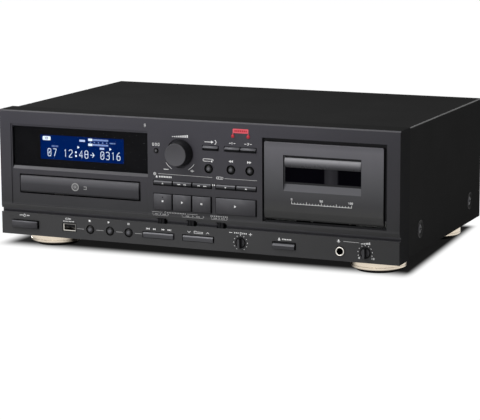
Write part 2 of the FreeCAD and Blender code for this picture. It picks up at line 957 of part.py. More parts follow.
def mic_jack():
    """The microphone jack: a bright ferrule in the panel and a square body behind."""
    body = new_body("mic_jack")
    ferrule = Drawing(body, "front", -0.8).circle(d.mic_across, d.mic_height, d.mic_ring)
    pad(ferrule, d.panel_wall + 0.8)
    case = Drawing(body, "front", d.panel_wall)
    case.rectangle(d.mic_across - 8, d.mic_across + 8, d.mic_height - 7, d.mic_height + 7)
    pad(case, 31)
    bore = Drawing(body, "front", -0.8).circle(d.mic_across, d.mic_height, d.mic_bore)
    pocket(bore, 31)
    piece("mic_jack", body)


def mains_inlet():
    """A two-pin inlet: a flanged body with a slot-shaped recess."""
    wide = d.inlet_wide / 2
    tall = d.inlet_tall / 2
    across = d.inlet_across
    height = d.inlet_height
    front = rear_plane - 16
    face = rear_plane + 1.8
    floor = rear_plane - 10.5
    flat = wide - tall
    shell = cut(
        fuse(
            block(
                across - wide - 1.5, across + wide + 1.5, front, face,
                height - tall - 1.5, height + tall + 1.5,
            ),
            block(
                across - wide - 5, across + wide + 5, rear_plane, face,
                height - tall - 3.5, height + tall + 3.5,
            ),
        ),
        block(across - flat, across + flat, floor, face + 1, height - tall, height + tall),
        rod("y", across - flat, floor, height, tall, face + 1 - floor),
        rod("y", across + flat, floor, height, tall, face + 1 - floor),
    )
    pins = [
        rod("y", across + side * d.inlet_pin_spacing / 2, floor, height, d.inlet_pin, 11)
        for side in (-1, 1)
    ]
    piece("mains_inlet", group(shell, *pins))


def line_jacks():
    """Four phono jacks on one moulded block that fills its opening in the back."""
    reach = d.jacks_spacing_wide / 2 + 8
    rise = d.jacks_spacing_tall / 2 + 8
    face = d.case_depth - d.cover_sheet
    sleeves = []
    sockets = []
    for across, height in jack_places():
        length = d.jack_reach + d.cover_sheet
        sleeves.append(rod("y", across, face, height, d.jack_sleeve, length))
        sockets.append(rod("y", across, face, height, 1.6, length + 1))
    body = block(
        d.jacks_across - reach, d.jacks_across + reach, rear_front - 13, face,
        d.jacks_height - rise, d.jacks_height + rise,
    )
    leads = block(
        d.jacks_across - reach, d.jacks_across + reach, rear_front - 13, rear_front - 4,
        d.main_board_height + d.board_thick, d.jacks_height - rise + 1,
    )
    piece("line_jacks", cut(fuse(body, leads, *sleeves), *sockets))


# Boards and power


def main_board():
    """The main circuit board with its larger components."""
    low = d.main_board_height
    top = low + d.board_thick
    board = block(-45, 140, 115, rear_front - 2, low, top)
    fins = cut(
        block(70, 110, 200, 226, top, top + 34),
        *[block(69, 111, 203 + step * 6, 206 + step * 6, top + 4, top + 35) for step in range(4)],
    )
    cans = [rod("z", across, depth, top, 9, 28) for across, depth in ((20, 150), (42, 150))]
    chips = [
        block(-25, -5, 170, 190, top, top + 2.4), block(10, 26, 195, 206, top, top + 2.4),
        block(100, 125, 125, 131, top, top + 9), block(-30, 10, 120, 126, top, top + 8),
        block(75, 92, 140, 152, top, top + 15),
    ]
    piece("main_board", group(board, fins, *cans, *chips))


def power_transformer():
    """A laminated core with its winding on the middle leg, on two mounting feet."""
    across = 177.0
    depth = 205.0
    low = d.chassis_sheet
    core_wide = 26.0
    core_deep = 10.0
    core_tall = 44.0
    leg = 9.0
    slot_tall = 13.0
    windows = [
        block(
            across + side * 13.5 - 4.5, across + side * 13.5 + 4.5,
            depth - core_deep - 1, depth + core_deep + 1,
            low + core_tall / 2 - slot_tall, low + core_tall / 2 + slot_tall,
        ) for side in (-1, 1)
    ]
    core = cut(
        block(
            across - core_wide, across + core_wide, depth - core_deep, depth + core_deep,
            low, low + core_tall,
        ),
        *windows,
    )
    winding = cut(
        block(
            across - 17, across + 17, depth - 19, depth + 19,
            low + core_tall / 2 - slot_tall + 1, low + core_tall / 2 + slot_tall - 1,
        ),
        block(
            across - leg, across + leg, depth - core_deep, depth + core_deep,
            low, low + core_tall,
        ),
    )
    ears = [
        block(
            across + side * 29.5 - 3.5, across + side * 29.5 + 3.5,
            depth - core_deep, depth + core_deep, low, low + 2,
        ) for side in (-1, 1)
    ]
    piece("power_transformer", group(fuse(core, *ears), winding))


SWITCHED_KEYS = []


def control_board():
    """The board behind the panel with a switch or control for every button."""
    body = new_body("control_board_sheet")
    sheet_top = 124.0
    strip_top = 20.0
    outline = Drawing(body, "front", d.board_depth)
    jack_reach = 9.0
    outline.outline([
        (-212, 4), (d.mic_across - jack_reach, 4), (d.mic_across - jack_reach, 17.5),
        (d.mic_across + jack_reach, 17.5), (d.mic_across + jack_reach, 4), (212, 4),
        (212, strip_top), (72, strip_top), (72, sheet_top), (-45, sheet_top),
        (-45, strip_top), (-212, strip_top),
    ])
    pad(outline, d.board_thick)
    solids = [body]
    face = d.board_depth
    size = d.switch_size / 2
    for across, height in SWITCHED_KEYS:
        solids.append(block(
            across - size, across + size, face - d.switch_high, face, height - size, height + size
        ))
    controls = [(d.level_across, d.level_height, 8, 6, d.shaft_radius)]
    controls += [(across, d.strip_dial_height, 5, 7, DIAL_SHAFT) for label, across in DIALS]
    for across, height, reach, front, shaft in controls:
        slot = shaft + d.running
        solids.append(cut(
            block(across - reach, across + reach, front, face, height - reach, height + reach),
            block(across - slot, across + slot, front - 1, 10, height - slot, height + slot),
        ))
    middle = (d.slide_low + d.slide_high) / 2
    for label, across in SLIDE_SWITCHES:
        solids.append(block(across - 5, across + 5, face - 5, face, middle - 3, middle + 3))
    middle = (d.power_low + d.power_high) / 2
    solids.append(block(d.power_left + 9, d.power_left + 23, 10, face, middle - 5, middle + 5))
    for across, height in RECORD_LAMPS:
        solids.append(block(
            across - LAMP_HALF, across + LAMP_HALF, -0.3, face, height - LAMP_HALF, height + LAMP_HALF
        ))
    piece("control_board", group(*solids))


# The disc mechanism

tray_left = d.tray_middle - d.tray_wide / 2
tray_right = d.tray_middle + d.tray_wide / 2
tray_front = 4.0
tray_top = d.tray_floor + d.tray_thick
tray_back = tray_front + d.tray_long
pitch_radius = d.gear_module * d.gear_teeth / 2
tooth_pitch = d.gear_module * math.pi
rack_pitch_line = d.tray_middle + d.pinion_across - pitch_radius
rack_depth = 4.0
addendum = d.gear_module * 0.85
dedendum = d.gear_module * 1.15
SLOPE = math.tan(math.radians(20))
BACKLASH = 0.15
PINION_FOOT = 1.45
PINION_TIP = 0.5
RACK_TEETH = int(d.tray_travel.value / tooth_pitch.value) + 3


def cd_tray():
    """The disc tray: two stepped wells, a slot for the turntable and a rack below one edge."""
    body = new_body("cd_tray")
    plate = Drawing(body, "plan", d.tray_floor)
    plate.rectangle(tray_left, tray_right, tray_front, tray_back)
    pad(plate, d.tray_thick)
    well = Drawing(body, "plan", d.tray_floor + 2)
    well.circle(d.tray_middle, d.disc_depth, d.disc_well)
    pocket(well, d.tray_thick)
    small_well = Drawing(body, "plan", d.tray_floor + 1.2)
    small_well.circle(d.tray_middle, d.disc_depth, d.small_disc_well)
    pocket(small_well, d.tray_thick)
    slot = Drawing(body, "plan", d.tray_floor - 1)
    reach = 18.0
    slot.outline([
        (d.tray_middle - reach, d.disc_depth), (d.tray_middle + reach, d.disc_depth),
        (d.tray_middle + reach, d.disc_depth + 60), (d.tray_middle - reach, d.disc_depth + 60),
    ], {0: reach})
    pocket(slot, d.tray_thick)
    rail = Drawing(body, "plan", d.tray_floor - rack_depth)
    root = rack_pitch_line - dedendum
    rail.rectangle(root - 4, root, 30, tray_back)
    pad(rail, rack_depth)
    tooth = Drawing(body, "plan", d.tray_floor - rack_depth)
    start = d.pinion_depth - tooth_pitch * 0.5
    foot = tooth_pitch * 0.25 + dedendum * SLOPE - BACKLASH / 2
    tip = tooth_pitch * 0.25 - addendum * SLOPE - BACKLASH / 2
    overlap = 0.5
    tooth.outline([
        (root - overlap, start - foot), (root, start - foot),
        (root + dedendum + addendum, start - tip), (root + dedendum + addendum, start + tip),
        (root, start + foot), (root - overlap, start + foot),
    ])
    first = pad(tooth, rack_depth)
    rack = body.newObject("PartDesign::LinearPattern", "rack")
    rack.Originals = [first]
    rack.Direction = (tooth.sketch, ["V_Axis"])
    bind(rack, "Length", tooth_pitch * (RACK_TEETH - 1))
    rack.Occurrences = RACK_TEETH
    body.Tip = rack
    piece("cd_tray", body)


def cd_tray_fascia():
    """The tray's front, slightly crowned."""
    body = new_body("cd_tray_fascia")
    left = tray_opening_left + d.fascia_gap
    low = d.tray_opening_low + d.fascia_gap
    top = d.tray_opening_high - d.fascia_gap
    side = Drawing(body, "side", left)
    edge = 0.1
    rise = d.fascia_crown + edge
    span = top - low
    side.outline(
        [(tray_front, low), (tray_front, top), (edge, top), (edge, low)],
        {2: (span * span / 4 + rise * rise) / (rise * 2)},
    )
    pad(side, d.tray_opening_wide - d.fascia_gap * 2)
    piece("cd_tray_fascia", body)


def loader_pinion():
    """The pinion that drives the tray's rack, with its pulley hub below."""
    body = new_body("loader_pinion")
    low = d.tray_floor - rack_depth + 0.2
    thick = rack_depth - 0.5
    across = d.tray_middle + d.pinion_across
    place = {"across": across, "up": d.pinion_depth}
    root = pitch_radius - dedendum
    tip = pitch_radius + addendum
    pad(Drawing(body, "plan", low, **place).circle(0, 0, root), thick)
    tooth = Drawing(body, "plan", low, **place)
    tooth.outline([
        (root - 0.5, -PINION_FOOT), (tip, -PINION_TIP), (tip, PINION_TIP), (root - 0.5, PINION_FOOT),
    ])
    first = pad(tooth, thick)
    gear = body.newObject("PartDesign::PolarPattern", "gear")
    gear.Originals = [first]
    gear.Axis = (tooth.sketch, ["N_Axis"])
    gear.Angle = 360
    gear.Occurrences = int(d.gear_teeth.value)
    body.Tip = gear
    hub_low = d.loader_floor + d.loader_wall + 1
    pad(Drawing(body, "plan", hub_low, **place).circle(0, 0, 5), low - hub_low)
    bore = Drawing(body, "plan", hub_low, **place).circle(0, 0, 2 + d.running)
    pocket(bore, d.tray_thick * 2)
    piece("loader_pinion", body)


def cd_loader_frame():
    """The frame that guides the tray, with its rails, motors and clamp bridge."""
    m = d.tray_middle
    wall = d.loader_wall
    inside = d.tray_wide / 2 + 0.8
    outside = inside + wall
    front = d.loader_front
    back = front + d.loader_long
    low = d.loader_floor
    floor = low + wall
    top = tray_top + 3
    rail_height = floor + 3.5
    rail_front = d.disc_depth + 10
    rail_back = rail_front + d.sled_travel + 47
    foot = d.chassis_sheet
    parts = [
        cut(
            block(m - outside, m + outside, front, back, low, floor),
            block(m - 17, m + 17, rail_front + 5, rail_back + 7, low - 1, floor + 1),
            rod("z", m, d.disc_depth, low - 1, 3, wall + 2),
        ),
        block(m - outside, m - inside, front, back, low, top),
        block(m + inside, m + outside, front, back, low, top),
        block(m - outside, m + outside, back - wall, back, low, top),
        block(m - inside - 1, m - inside + 4.3, front, back, d.tray_floor - 3, d.tray_floor - 0.1),
        block(m + inside - 4.3, m + inside + 1, front, back, d.tray_floor - 3, d.tray_floor - 0.1),
        rod("z", m + d.pinion_across, d.pinion_depth, floor, 2, d.tray_floor - 2 - floor),
        block(m - outside, m + outside, 58, 92, top - 0.5, top + 2),
        block(m - outside, m + outside, 58, 60, top, top + 6),
        block(m - outside, m + outside, 90, 92, top, top + 6),
    ]
    for side in (-1, 1):
        for depth in (front + 24, back - 12):
            parts.append(block(
                m + side * 62 - 4, m + side * 62 + 4, depth, depth + 8, foot, low
            ))
        for depth in (rail_front - 3, rail_back):
            parts.append(block(
                m + side * d.rail_spread - 3, m + side * d.rail_spread + 3,
                depth, depth + 3, floor, rail_height + 3,
            ))
    rails = [
        rod("y", m + side * d.rail_spread, rail_front, rail_height, d.rail_radius,
            rail_back - rail_front)
        for side in (-1, 1)
    ]
    clamp_hole = rod("z", m, d.disc_depth, top - 1, 8, 5)
    clamp = fuse(
        rod("z", m, d.disc_depth, tray_top + 0.4, 13, 2),
        rod("z", m, d.disc_depth, tray_top + 0.4, 7.9, top - tray_top + 2),
    )
    spindle_motor = cut(
        rod("z", m, d.disc_depth, low - 12, 12, 12),
        rod("z", m, d.disc_depth, low - 5, 1.25 + d.running, 7),
    )
    motor_depth = d.pinion_depth + 3
    tray_motor = rod("z", m - 20, motor_depth, low - 18, 9, 18)
    tray_pulley = rod("z", m - 20, motor_depth, floor, 4, 5)
    piece("cd_loader_frame", group(
        cut(fuse(*parts), clamp_hole), *rails, clamp, spindle_motor, tray_motor, tray_pulley
    ))


def cd_turntable():
    """The turntable on the spindle motor's shaft."""
    body = new_body("cd_turntable")
    base = d.loader_floor + d.loader_wall
    profile = Drawing(body, "side", d.tray_middle, across=d.disc_depth)
    profile.outline([
        (0, base - 6), (1.25, base - 6), (1.25, base + 8.5), (15, base + 8.5),
        (15, base + 10.5), (7.3, base + 10.5), (7.3, base + 13.2), (0, base + 13.2),
    ])
    turn("Revolution", profile, "up")
    piece("cd_turntable", body)


def pickup_sled():
    """The laser pickup on its two rails."""
    m = d.tray_middle
    floor = d.loader_floor + d.loader_wall
    rail_height = floor + 3.5
    front = d.disc_depth + 17
    slot = d.rail_radius + d.running
    carriage = cut(
        fuse(
            block(m - 25.5, m + 25.5, front, front + 20, floor + 1, floor + 6),
            block(m - 10, m + 10, front + 1, front + 19, floor + 6, floor + 8),
            rod("z", m, front + 7, floor + 8, 3.2, 1.6),
            block(m - 15, m + 15, front + 2, front + 18, floor - 5, floor + 1),
        ),
        *[
            block(
                m + side * d.rail_spread - slot, m + side * d.rail_spread + slot,
                front - 1, front + 21, rail_height - slot, rail_height + slot,
            )
            for side in (-1, 1)
        ],
    )
    piece("pickup_sled", carriage)


# The tape mechanism

capstan = d.door_middle + d.capstan_across
door_left = d.door_middle - d.door_wide / 2
door_back = d.door_thick - d.door_proud
holder_inside = d.cassette_wide / 2 + 0.6
holder_side = 2.0
ARM_LENGTH = 15.57
ARM_HEIGHT = 41.0
arm_pivot = capstan + 15.1
FLYWHEEL_FRONT = 25.0
BELT_DEPTH = 27.5
MOTOR_FRONT = 32.0
PULLEY = 5.0
GUIDE_SPREAD = 20.0
GUIDE_HEIGHT = 38.5


def cassette_door():
    """The door: a thick plate whose lower edge curls back, with a stepped window recess."""
    body = new_body("cassette_door")
    side = Drawing(body, "side", door_left)
    set_back = door_back - 1.5 + d.door_proud
    curl = d.door_curl
    side.outline([
        (door_back, d.door_low), (door_back, d.door_high), (0.6 - d.door_proud, d.door_high),
        (-d.door_proud, d.door_high - 0.6), (-d.door_proud, d.door_low + curl),
        (set_back - d.door_proud, d.door_low),
    ], {4: (set_back * set_back + curl * curl) / (set_back * 2)})
    pad(side, d.door_wide)
    edges = (door_left.value, (door_left + d.door_wide).value)
    top = d.door_high.value
    dress(
        "Fillet", body, 1.5,
        lambda p: min(abs(p.x - edge) for edge in edges) < 0.01 and p.z > top - 0.01,
    )
    floor = 1.2
    recess = Drawing(body, "side", d.window_frame_left)
    recess.outline([
        (-3, d.window_frame_low), (-d.door_proud, d.window_frame_low),
        (floor, d.window_frame_low + 6.7), (floor, d.window_frame_high), (-3, d.window_frame_high),
    ])
    pocket(recess, d.window_frame_right - d.window_frame_left)
    mouth = Drawing(body, "front", 0)
    mouth.rectangle(
        d.window_frame_left + 1, d.window_frame_right - 0.7,
        d.window_frame_low + 8.8, d.window_frame_high - 2.3,
    )
    pocket(mouth, d.door_thick)
    seat = Drawing(body, "front", floor + 1)
    seat.rectangle(
        d.window_frame_left - 1, d.window_frame_right + 1,
        d.window_frame_low + 6.8, d.window_frame_high - 0.3,
    )
    pocket(seat, d.door_thick)
    piece("cassette_door", body)


def door_window():
    """The door's clear window: a flat pane below a rounded brow, with a rim behind."""
    body = new_body("door_window")
    gap = d.clearance
    left = d.window_frame_left + 1 + gap
    low = d.window_frame_low + 8.8 + gap
    top = d.window_frame_high - 2.3 - gap
    brow = low + 14.2
    side = Drawing(body, "side", left)
    side.outline(
        [(door_back, low), (0.6, low), (0.6, brow), (0.3, top), (door_back, top)],
        {2: -8.2},
    )
    pad(side, d.window_frame_right - 0.7 - gap - left)
    rim = Drawing(body, "front", 2.2)
    rim.rectangle(
        d.window_frame_left - 1 + gap, d.window_frame_right + 1 - gap,
        d.window_frame_low + 6.8 + gap, d.window_frame_high - 0.3 - gap,
    )
    pad(rim, door_back - 2.2)
    piece("door_window", body)


def cassette_holder():
    """The cradle behind the door, with side channels, corner rests and hinge pins."""
    body = new_body("cassette_holder")
    c = d.door_middle
    reach = holder_inside + holder_side
    low = d.hinge_height - 3.5
    face = Drawing(body, "front", door_back)
    face.rectangle(c - reach, c + reach, d.hinge_height + 3, 108)
    face.rectangle(c - 40, c + 40, 66, 104)
    pad(face, 1.5)
    for left in (c - reach, c + holder_inside):
        cheek = Drawing(body, "side", left)
        cheek.outline([
            (door_back, low), (d.hinge_depth + 2.5, low), (20, 45), (20, 92), (14, 106),
            (door_back, 106),
        ])
        pad(cheek, holder_side)
    for left, right in (
        (c - holder_inside - 0.5, c - holder_inside + 4),
        (c + holder_inside - 4, c + holder_inside + 0.5),
    ):
        lip = Drawing(body, "front", 18.6).rectangle(left, right, 46, 92)
        pad(lip, 1.4)
    for left, right in (
        (c - holder_inside - 0.5, c - holder_inside + 6.5),
        (c + holder_inside - 6.5, c + holder_inside + 0.5),
    ):
        rest = Drawing(body, "front", door_back + 1)
        rest.rectangle(left, right, d.cassette_low - 2, d.cassette_low - 0.3)
        pad(rest, 11.5)
    for left in (c - reach - 3, c + reach - 0.5):
        pin = Drawing(body, "side", left).circle(d.hinge_depth, d.hinge_height, d.hinge_pin)
        pad(pin, 3.5)
    piece("cassette_holder", body)


def tape_chassis():
    """The steel deck plate with the door's hinge ears, bearings, posts and rear bracket."""
    body = new_body("tape_chassis")
    c = d.door_middle
    plate = Drawing(body, "front", d.deck_plate_depth)
    plate.rectangle(c - 64.5, c + 64.5, 25, 122.5)
    pad(plate, d.deck_plate_sheet)
    ear = 2.8
    for left in (c - holder_inside - holder_side - 2.6, c + holder_inside + holder_side + 0.6):
        arm = Drawing(body, "side", left)
        arm.outline([
            (d.hinge_depth, d.hinge_height + ear), (d.hinge_depth, d.hinge_height - ear),
            (d.deck_plate_depth + 0.5, d.hinge_height - ear),
            (d.deck_plate_depth + 0.5, d.hinge_height + ear),
        ], {0: ear})
        pad(arm, 2)
    bush = Drawing(body, "front", 17.5).circle(capstan, d.capstan_height, 3.2)
    pad(bush, 5)
    pivot = Drawing(body, "front", 15.5).circle(arm_pivot, ARM_HEIGHT, 1.5)
    pad(pivot, 6)
    guides = Drawing(body, "front", 18.5)
    bushes = Drawing(body, "front", d.deck_plate_depth)
    for side in (-1, 1):
        across = c + side * GUIDE_SPREAD
        guides.rectangle(across - 1.5, across + 1.5, GUIDE_HEIGHT - 1.5, GUIDE_HEIGHT + 1.5)
        across = c + side * d.hub_spacing / 2
        bushes.rectangle(across - 3, across + 3, d.hub_height - 3, d.hub_height + 3)
    pad(guides, 3)
    pad(bushes, 3)
    posts = Drawing(body, "front", d.deck_plate_depth)
    for height in (d.capstan_height - 26, d.capstan_height + 26):
        posts.rectangle(capstan - 4, capstan + 4, height - 1.5, height + 1.5)
    pad(posts, 14)
    strip = Drawing(body, "front", 35)
    strip.rectangle(
        capstan - 4, capstan + 4, d.capstan_height - 27.5, d.capstan_height + 27.5
    )
    pad(strip, 1.5)
    mounts = Drawing(body, "front", d.deck_plate_depth)
    across = c + d.tape_motor_across
    for side in (-1, 1):
        middle = d.capstan_height + side * 10.5
        mounts.rectangle(across - 5, across + 5, middle - 1.5, middle + 1.5)
    pad(mounts, MOTOR_FRONT - d.deck_plate_depth)
    holes = Drawing(body, "front", 17)
    holes.circle(capstan, d.capstan_height, d.capstan_radius + d.running)
    for side in (-1, 1):
        holes.circle(c + side * d.hub_spacing / 2, d.hub_height, 1.5 + d.running)
    pocket(holes, 10)
    pins = Drawing(body, "side", c - 60)
    pins.circle(d.hinge_depth, d.hinge_height, d.hinge_pin + d.running)
    pocket(pins, 120)
    piece("tape_chassis", body)


def reel_spindle(label, across):
    """A reel table with its three-finned spindle and the shaft behind it."""
    body = new_body(label)
    profile = Drawing(body, "side", across, up=d.hub_height)
    back = d.deck_plate_depth + 3
    profile.outline([
        (9.5, 0), (9.5, 2.9), (17.4, 2.9), (17.4, 9.5), (20.4, 9.5),
        (20.4, 1.5), (back + 0.8, 1.5), (back + 0.8, 0),
    ])
    turn("Revolution", profile, "across")
    fin = Drawing(body, "front", 10.5, across=across, up=d.hub_height)
    first = pad(fin.rectangle(-0.5, 0.5, 2, 4.3), 7)
    fins = body.newObject("PartDesign::PolarPattern", label + "_fins")
    fins.Originals = [first]
    fins.Axis = (fin.sketch, ["N_Axis"])
    fins.Angle = 360
    fins.Occurrences = 3
    body.Tip = fins
    piece(label, body)


def capstan_flywheel():
    """The capstan shaft with its flywheel, whose plain rim the belt drives."""
    body = new_body("capstan_flywheel")
    profile = Drawing(body, "side", capstan, up=d.capstan_height)
    rim = d.flywheel_radius
    front = FLYWHEEL_FRONT
    profile.outline([
        (8, 0), (8, d.capstan_radius), (front, d.capstan_radius), (front, rim),
        (front + 8, rim), (front + 8, d.capstan_radius), (34.9, d.capstan_radius), (34.9, 0),
    ])
    turn("Revolution", profile, "across")
    piece("capstan_flywheel", body)


def pinch_roller_arm():
    """The swinging arm with the rubber pinch roller on its pin."""
    roller = arm_pivot - ARM_LENGTH
    arm = cut(
        fuse(
            rod("y", arm_pivot, 16.9, ARM_HEIGHT, 3.5, 2),
            block(roller - 2, arm_pivot, 16.9, 18.9, ARM_HEIGHT - 2, ARM_HEIGHT + 2),
            rod("y", roller, 8.8, ARM_HEIGHT, 1, 9),
        ),
        rod("y", arm_pivot, 16, ARM_HEIGHT, 1.5 + d.running, 4),
    )
    rubber = cut(
        rod("y", roller, 9.6, ARM_HEIGHT, d.pinch_radius, 7.2),
        rod("y", roller, 9, ARM_HEIGHT, 1 + d.running, 9),
    )
    piece("pinch_roller_arm", group(arm, rubber))


def head_block():
    """The sliding base with the record and erase heads and the tape guide."""
    body = new_body("head_block")
    c = d.door_middle
    base = Drawing(body, "front", 19.3)
    base.rectangle(c - 36, c + 26, 29.5, 41.5)
    for side in (-1, 1):
        middle = c + side * GUIDE_SPREAD
        low = GUIDE_HEIGHT - 1.7 - d.head_travel
        base.rectangle(middle - 1.6, middle + 1.6, low, GUIDE_HEIGHT + 1.7)
    pad(base, 1.4)
    head = Drawing(body, "front", 8)
    head.outline(
        [(c - 6.5, 34), (c + 6.5, 34), (c + 6.5, 40.5), (c - 6.5, 40.5)], {2: 8.5}
    )
    pad(head, 11.5)
    erase = Drawing(body, "front", 9).rectangle(c - 33, c - 27, 36, 42.5)
    erase.rectangle(c + 9, c + 10.5, 36, 44)
    pad(erase, 10.5)
    piece("head_block", body)


def belt(near, near_radius, far, far_radius, height, front, wide, thick):
    """A flat belt round two pulleys whose axes run along Y at one height."""
    span = far - near
    lean = math.asin((far_radius - near_radius) / span)

    def loop(extra):
        """The belt's line at a distance outside the pulleys."""
        points = []
        for centre, radius, angles in (
            (far, far_radius + extra, (lean + math.pi / 2, 0, -lean - math.pi / 2)),
            (near, near_radius + extra, (-lean - math.pi / 2, math.pi, lean + math.pi / 2)),
        ):
            points.append([
                Vector(centre + radius * math.cos(angle), front, height + radius * math.sin(angle))
                for angle in angles
            ])
        away, home = points
        edges = [
            Part.Arc(*away).toShape(), Part.LineSegment(away[2], home[0]).toShape(),
            Part.Arc(*home).toShape(), Part.LineSegment(home[2], away[0]).toShape(),
        ]
        return Part.Face(Part.Wire(edges))

    band = loop(thick).cut(loop(0))
    shape = doc.addObject("Part::Feature", "belt")
    shape.Shape = band.extrude(Vector(0, wide, 0))
    return shape


def tape_motor():
    """The tape motor with its pulley and the belt to the flywheel."""
    across = d.door_middle + d.tape_motor_across
    height = d.capstan_height
    can = fuse(
        rod("y", across, MOTOR_FRONT, height, d.tape_motor_radius, 26),
        rod("y", across, MOTOR_FRONT - 6, height, PULLEY, 6),
    )
    loop = belt(
        across.value, PULLEY, capstan.value, d.flywheel_radius.value + 0.1,
        height.value, BELT_DEPTH, 3.0, 0.6,
    )
    piece("tape_motor", group(can, loop))


# Controls

FLANGE_FRONT = 3.1
FLANGE_BACK = 4.1
LIP = 1.2
switch_face = d.board_depth - d.switch_high


def key(label, left, right, low, top, proud, travel, stem_back, bevel=0.6):
    """A rectangular key: a cap with a bevelled top edge, a lip above and below and a stem."""
    body = new_body(label)
    front = -sized(proud)
    side = Drawing(body, "side", left)
    side.outline([
        (FLANGE_BACK, low - LIP), (FLANGE_BACK, top + LIP), (FLANGE_FRONT, top + LIP),
        (FLANGE_FRONT, top), (front + bevel, top), (front, top - bevel), (front, low),
        (FLANGE_FRONT, low), (FLANGE_FRONT, low - LIP),
    ])
    pad(side, right - left)
    edge_left = sized(left).value
    edge_right = sized(right).value
    face = front.value
    dress(
        "Chamfer", body, 0.4,
        lambda p: min(abs(p.x - edge_left), abs(p.x - edge_right)) < 0.01 and abs(p.y - face) < 0.01,
    )
    middle = (left + right) / 2
    height = (low + top) / 2
    stem = Drawing(body, "front", FLANGE_BACK)
    stem.rectangle(middle - 1.5, middle + 1.5, height - 1.5, height + 1.5)
    pad(stem, stem_back - FLANGE_BACK)
    piece(label, body)
    return middle, height


def key_row(labels, left, wide, low, top, proud, widths, side, gap):
    """A row of keys in one opening; widths gives each key's share of the row."""
    share = (wide - side * 2 - gap * (len(labels) - 1)) / sum(widths)
    start = left + side
    for label, part in zip(labels, widths):
        end = start + share * part
        stem_back = switch_face - d.key_travel - d.clearance
        place = key(
            label, start, end, low + d.key_rim, top - d.key_rim, proud, d.key_travel, stem_back
        )
        SWITCHED_KEYS.append(place)
        start = end + gap


def keys():
    """Every rectangular key."""
    slim = (d.slim_low, d.slim_high, d.slim_proud)
    big = (d.big_low, d.big_high, d.big_proud)
    left = (d.field_left, d.field_left_wide)
    right = (d.field_right, d.field_right_wide)
    spacing = (d.key_side, d.key_gap)
    key_row(
        ["cd_open_button", "cd_skip_back_button", "cd_skip_forward_button"],
        *left, *slim, [1, 1, 1], *spacing,
    )
    key_row(["dubbing_button", "tape_direction_button"], *right, *slim, [1, 1], *spacing)
    key_row(
        ["cd_stop_button", "cd_play_button", "cd_pause_button"], *left, *big, [1, 1, 1], *spacing
    )
    key_row(["tape_play_button"], *right, *big, [1], *spacing)
    source = (d.source_low, d.source_high, d.source_proud)
    key_row(["source_button"], d.source_left, d.source_wide, *source, [1], 0.7, 1.3)
    key_row(
        ["record_usb_button", "record_tape_button"],
        d.record_left, d.record_wide, *source, [1, 1], 0.7, 1.3,
    )
    key(
        "power_button", d.power_left + 1, d.power_left + d.power_wide - 1,
        d.power_low + 0.7, d.power_high - 0.7, d.power_proud, d.power_travel,
        10 - d.power_travel - d.clearance * 2,
    )
    place = key(
        "eject_button", d.eject_left + 1, d.eject_left + d.eject_wide - 1,
        d.eject_low + d.key_rim, d.eject_high - d.key_rim, d.eject_proud, d.eject_travel,
        switch_face - d.eject_travel - d.clearance,
    )
    SWITCHED_KEYS.append(place)


def round_button(label, across, height, radius, flange):
    """A round push button with a square base plate and a stem."""
    body = new_body(label)
    cap = Drawing(body, "front", -1.3).circle(across, height, radius)
    pad(cap, FLANGE_FRONT + 1.3)
    plate = Drawing(body, "front", FLANGE_FRONT)
    plate.rectangle(across - flange, across + flange, height - flange, height + flange)
    pad(plate, FLANGE_BACK - FLANGE_FRONT)
    stem = Drawing(body, "front", FLANGE_BACK)
    stem.rectangle(across - 1.5, across + 1.5, height - 1.5, height + 1.5)
    pad(stem, switch_face - d.key_travel - d.clearance - FLANGE_BACK)
    piece(label, body)
    SWITCHED_KEYS.append((across, height))


def round_buttons():
    """Every round push button."""
    for label, across, height, radius, ring in ROUND_BUTTONS:
        round_button(label, across, height, radius, ring + 0.4)
    round_button(
        "counter_reset_button", RESET_BUTTON[0], RESET_BUTTON[1], RESET_RADIUS, RESET_RADIUS + 1.5
    )


ROCKER_STEM = 13.0


def rocker(label, left, wide):
    """A two-way key that tilts about an upright pin behind its middle."""
    body = new_body(label)
    middle = left + wide / 2
    end = 1.0
    low = d.rocker_low + 0.5
    top = d.rocker_high - 0.5
    front = -d.rocker_proud
    cap = Drawing(body, "plan", low)
    cap.outline([
        (left + end, front + 0.5), (left + end + 0.5, front), (middle, front + 0.6),
        (left + wide - end - 0.5, front), (left + wide - end, front + 0.5),
        (left + wide - end, 3), (left + end, 3),
    ])
    pad(cap, top - low)
    web = Drawing(body, "plan", low + 0.3).rectangle(middle - 2, middle + 2, 2.5, 6.4)
    pad(web, top - low - 0.6)
    pin = Drawing(body, "plan", d.rocker_low - 3)
    pin.circle(middle, d.panel_wall + 2, d.rocker_pin)
    pad(pin, d.rocker_high - d.rocker_low + 6)
    height = (low + top) / 2
    stems = Drawing(body, "front", 2.5)
    for side in (-1, 1):
        across = middle + side * ROCKER_STEM
        stems.rectangle(across - 1, across + 1, height - 1, height + 1)
        SWITCHED_KEYS.append((across, height))
    pad(stems, switch_face - 0.8 - 2.5)
    piece(label, body)


def slide_knob(label, across):
    """A slide switch's knob with a finger notch."""
    body = new_body(label)
    low = d.slide_low + 0.4
    high = d.slide_high - 0.4
    reach = d.slide_knob / 2
    plan = Drawing(body, "plan", low)
    plan.outline([
        (across - reach, 0.3), (across - 0.8, 0.3), (across, 1.2), (across + 0.8, 0.3),
        (across + reach, 0.3), (across + reach, 3.6), (across + 1.5, 3.6),
        (across + 1.5, 8.3), (across - 1.5, 8.3), (across - 1.5, 3.6), (across - reach, 3.6),
    ])
    pad(plan, high - low)
    piece(label, body)


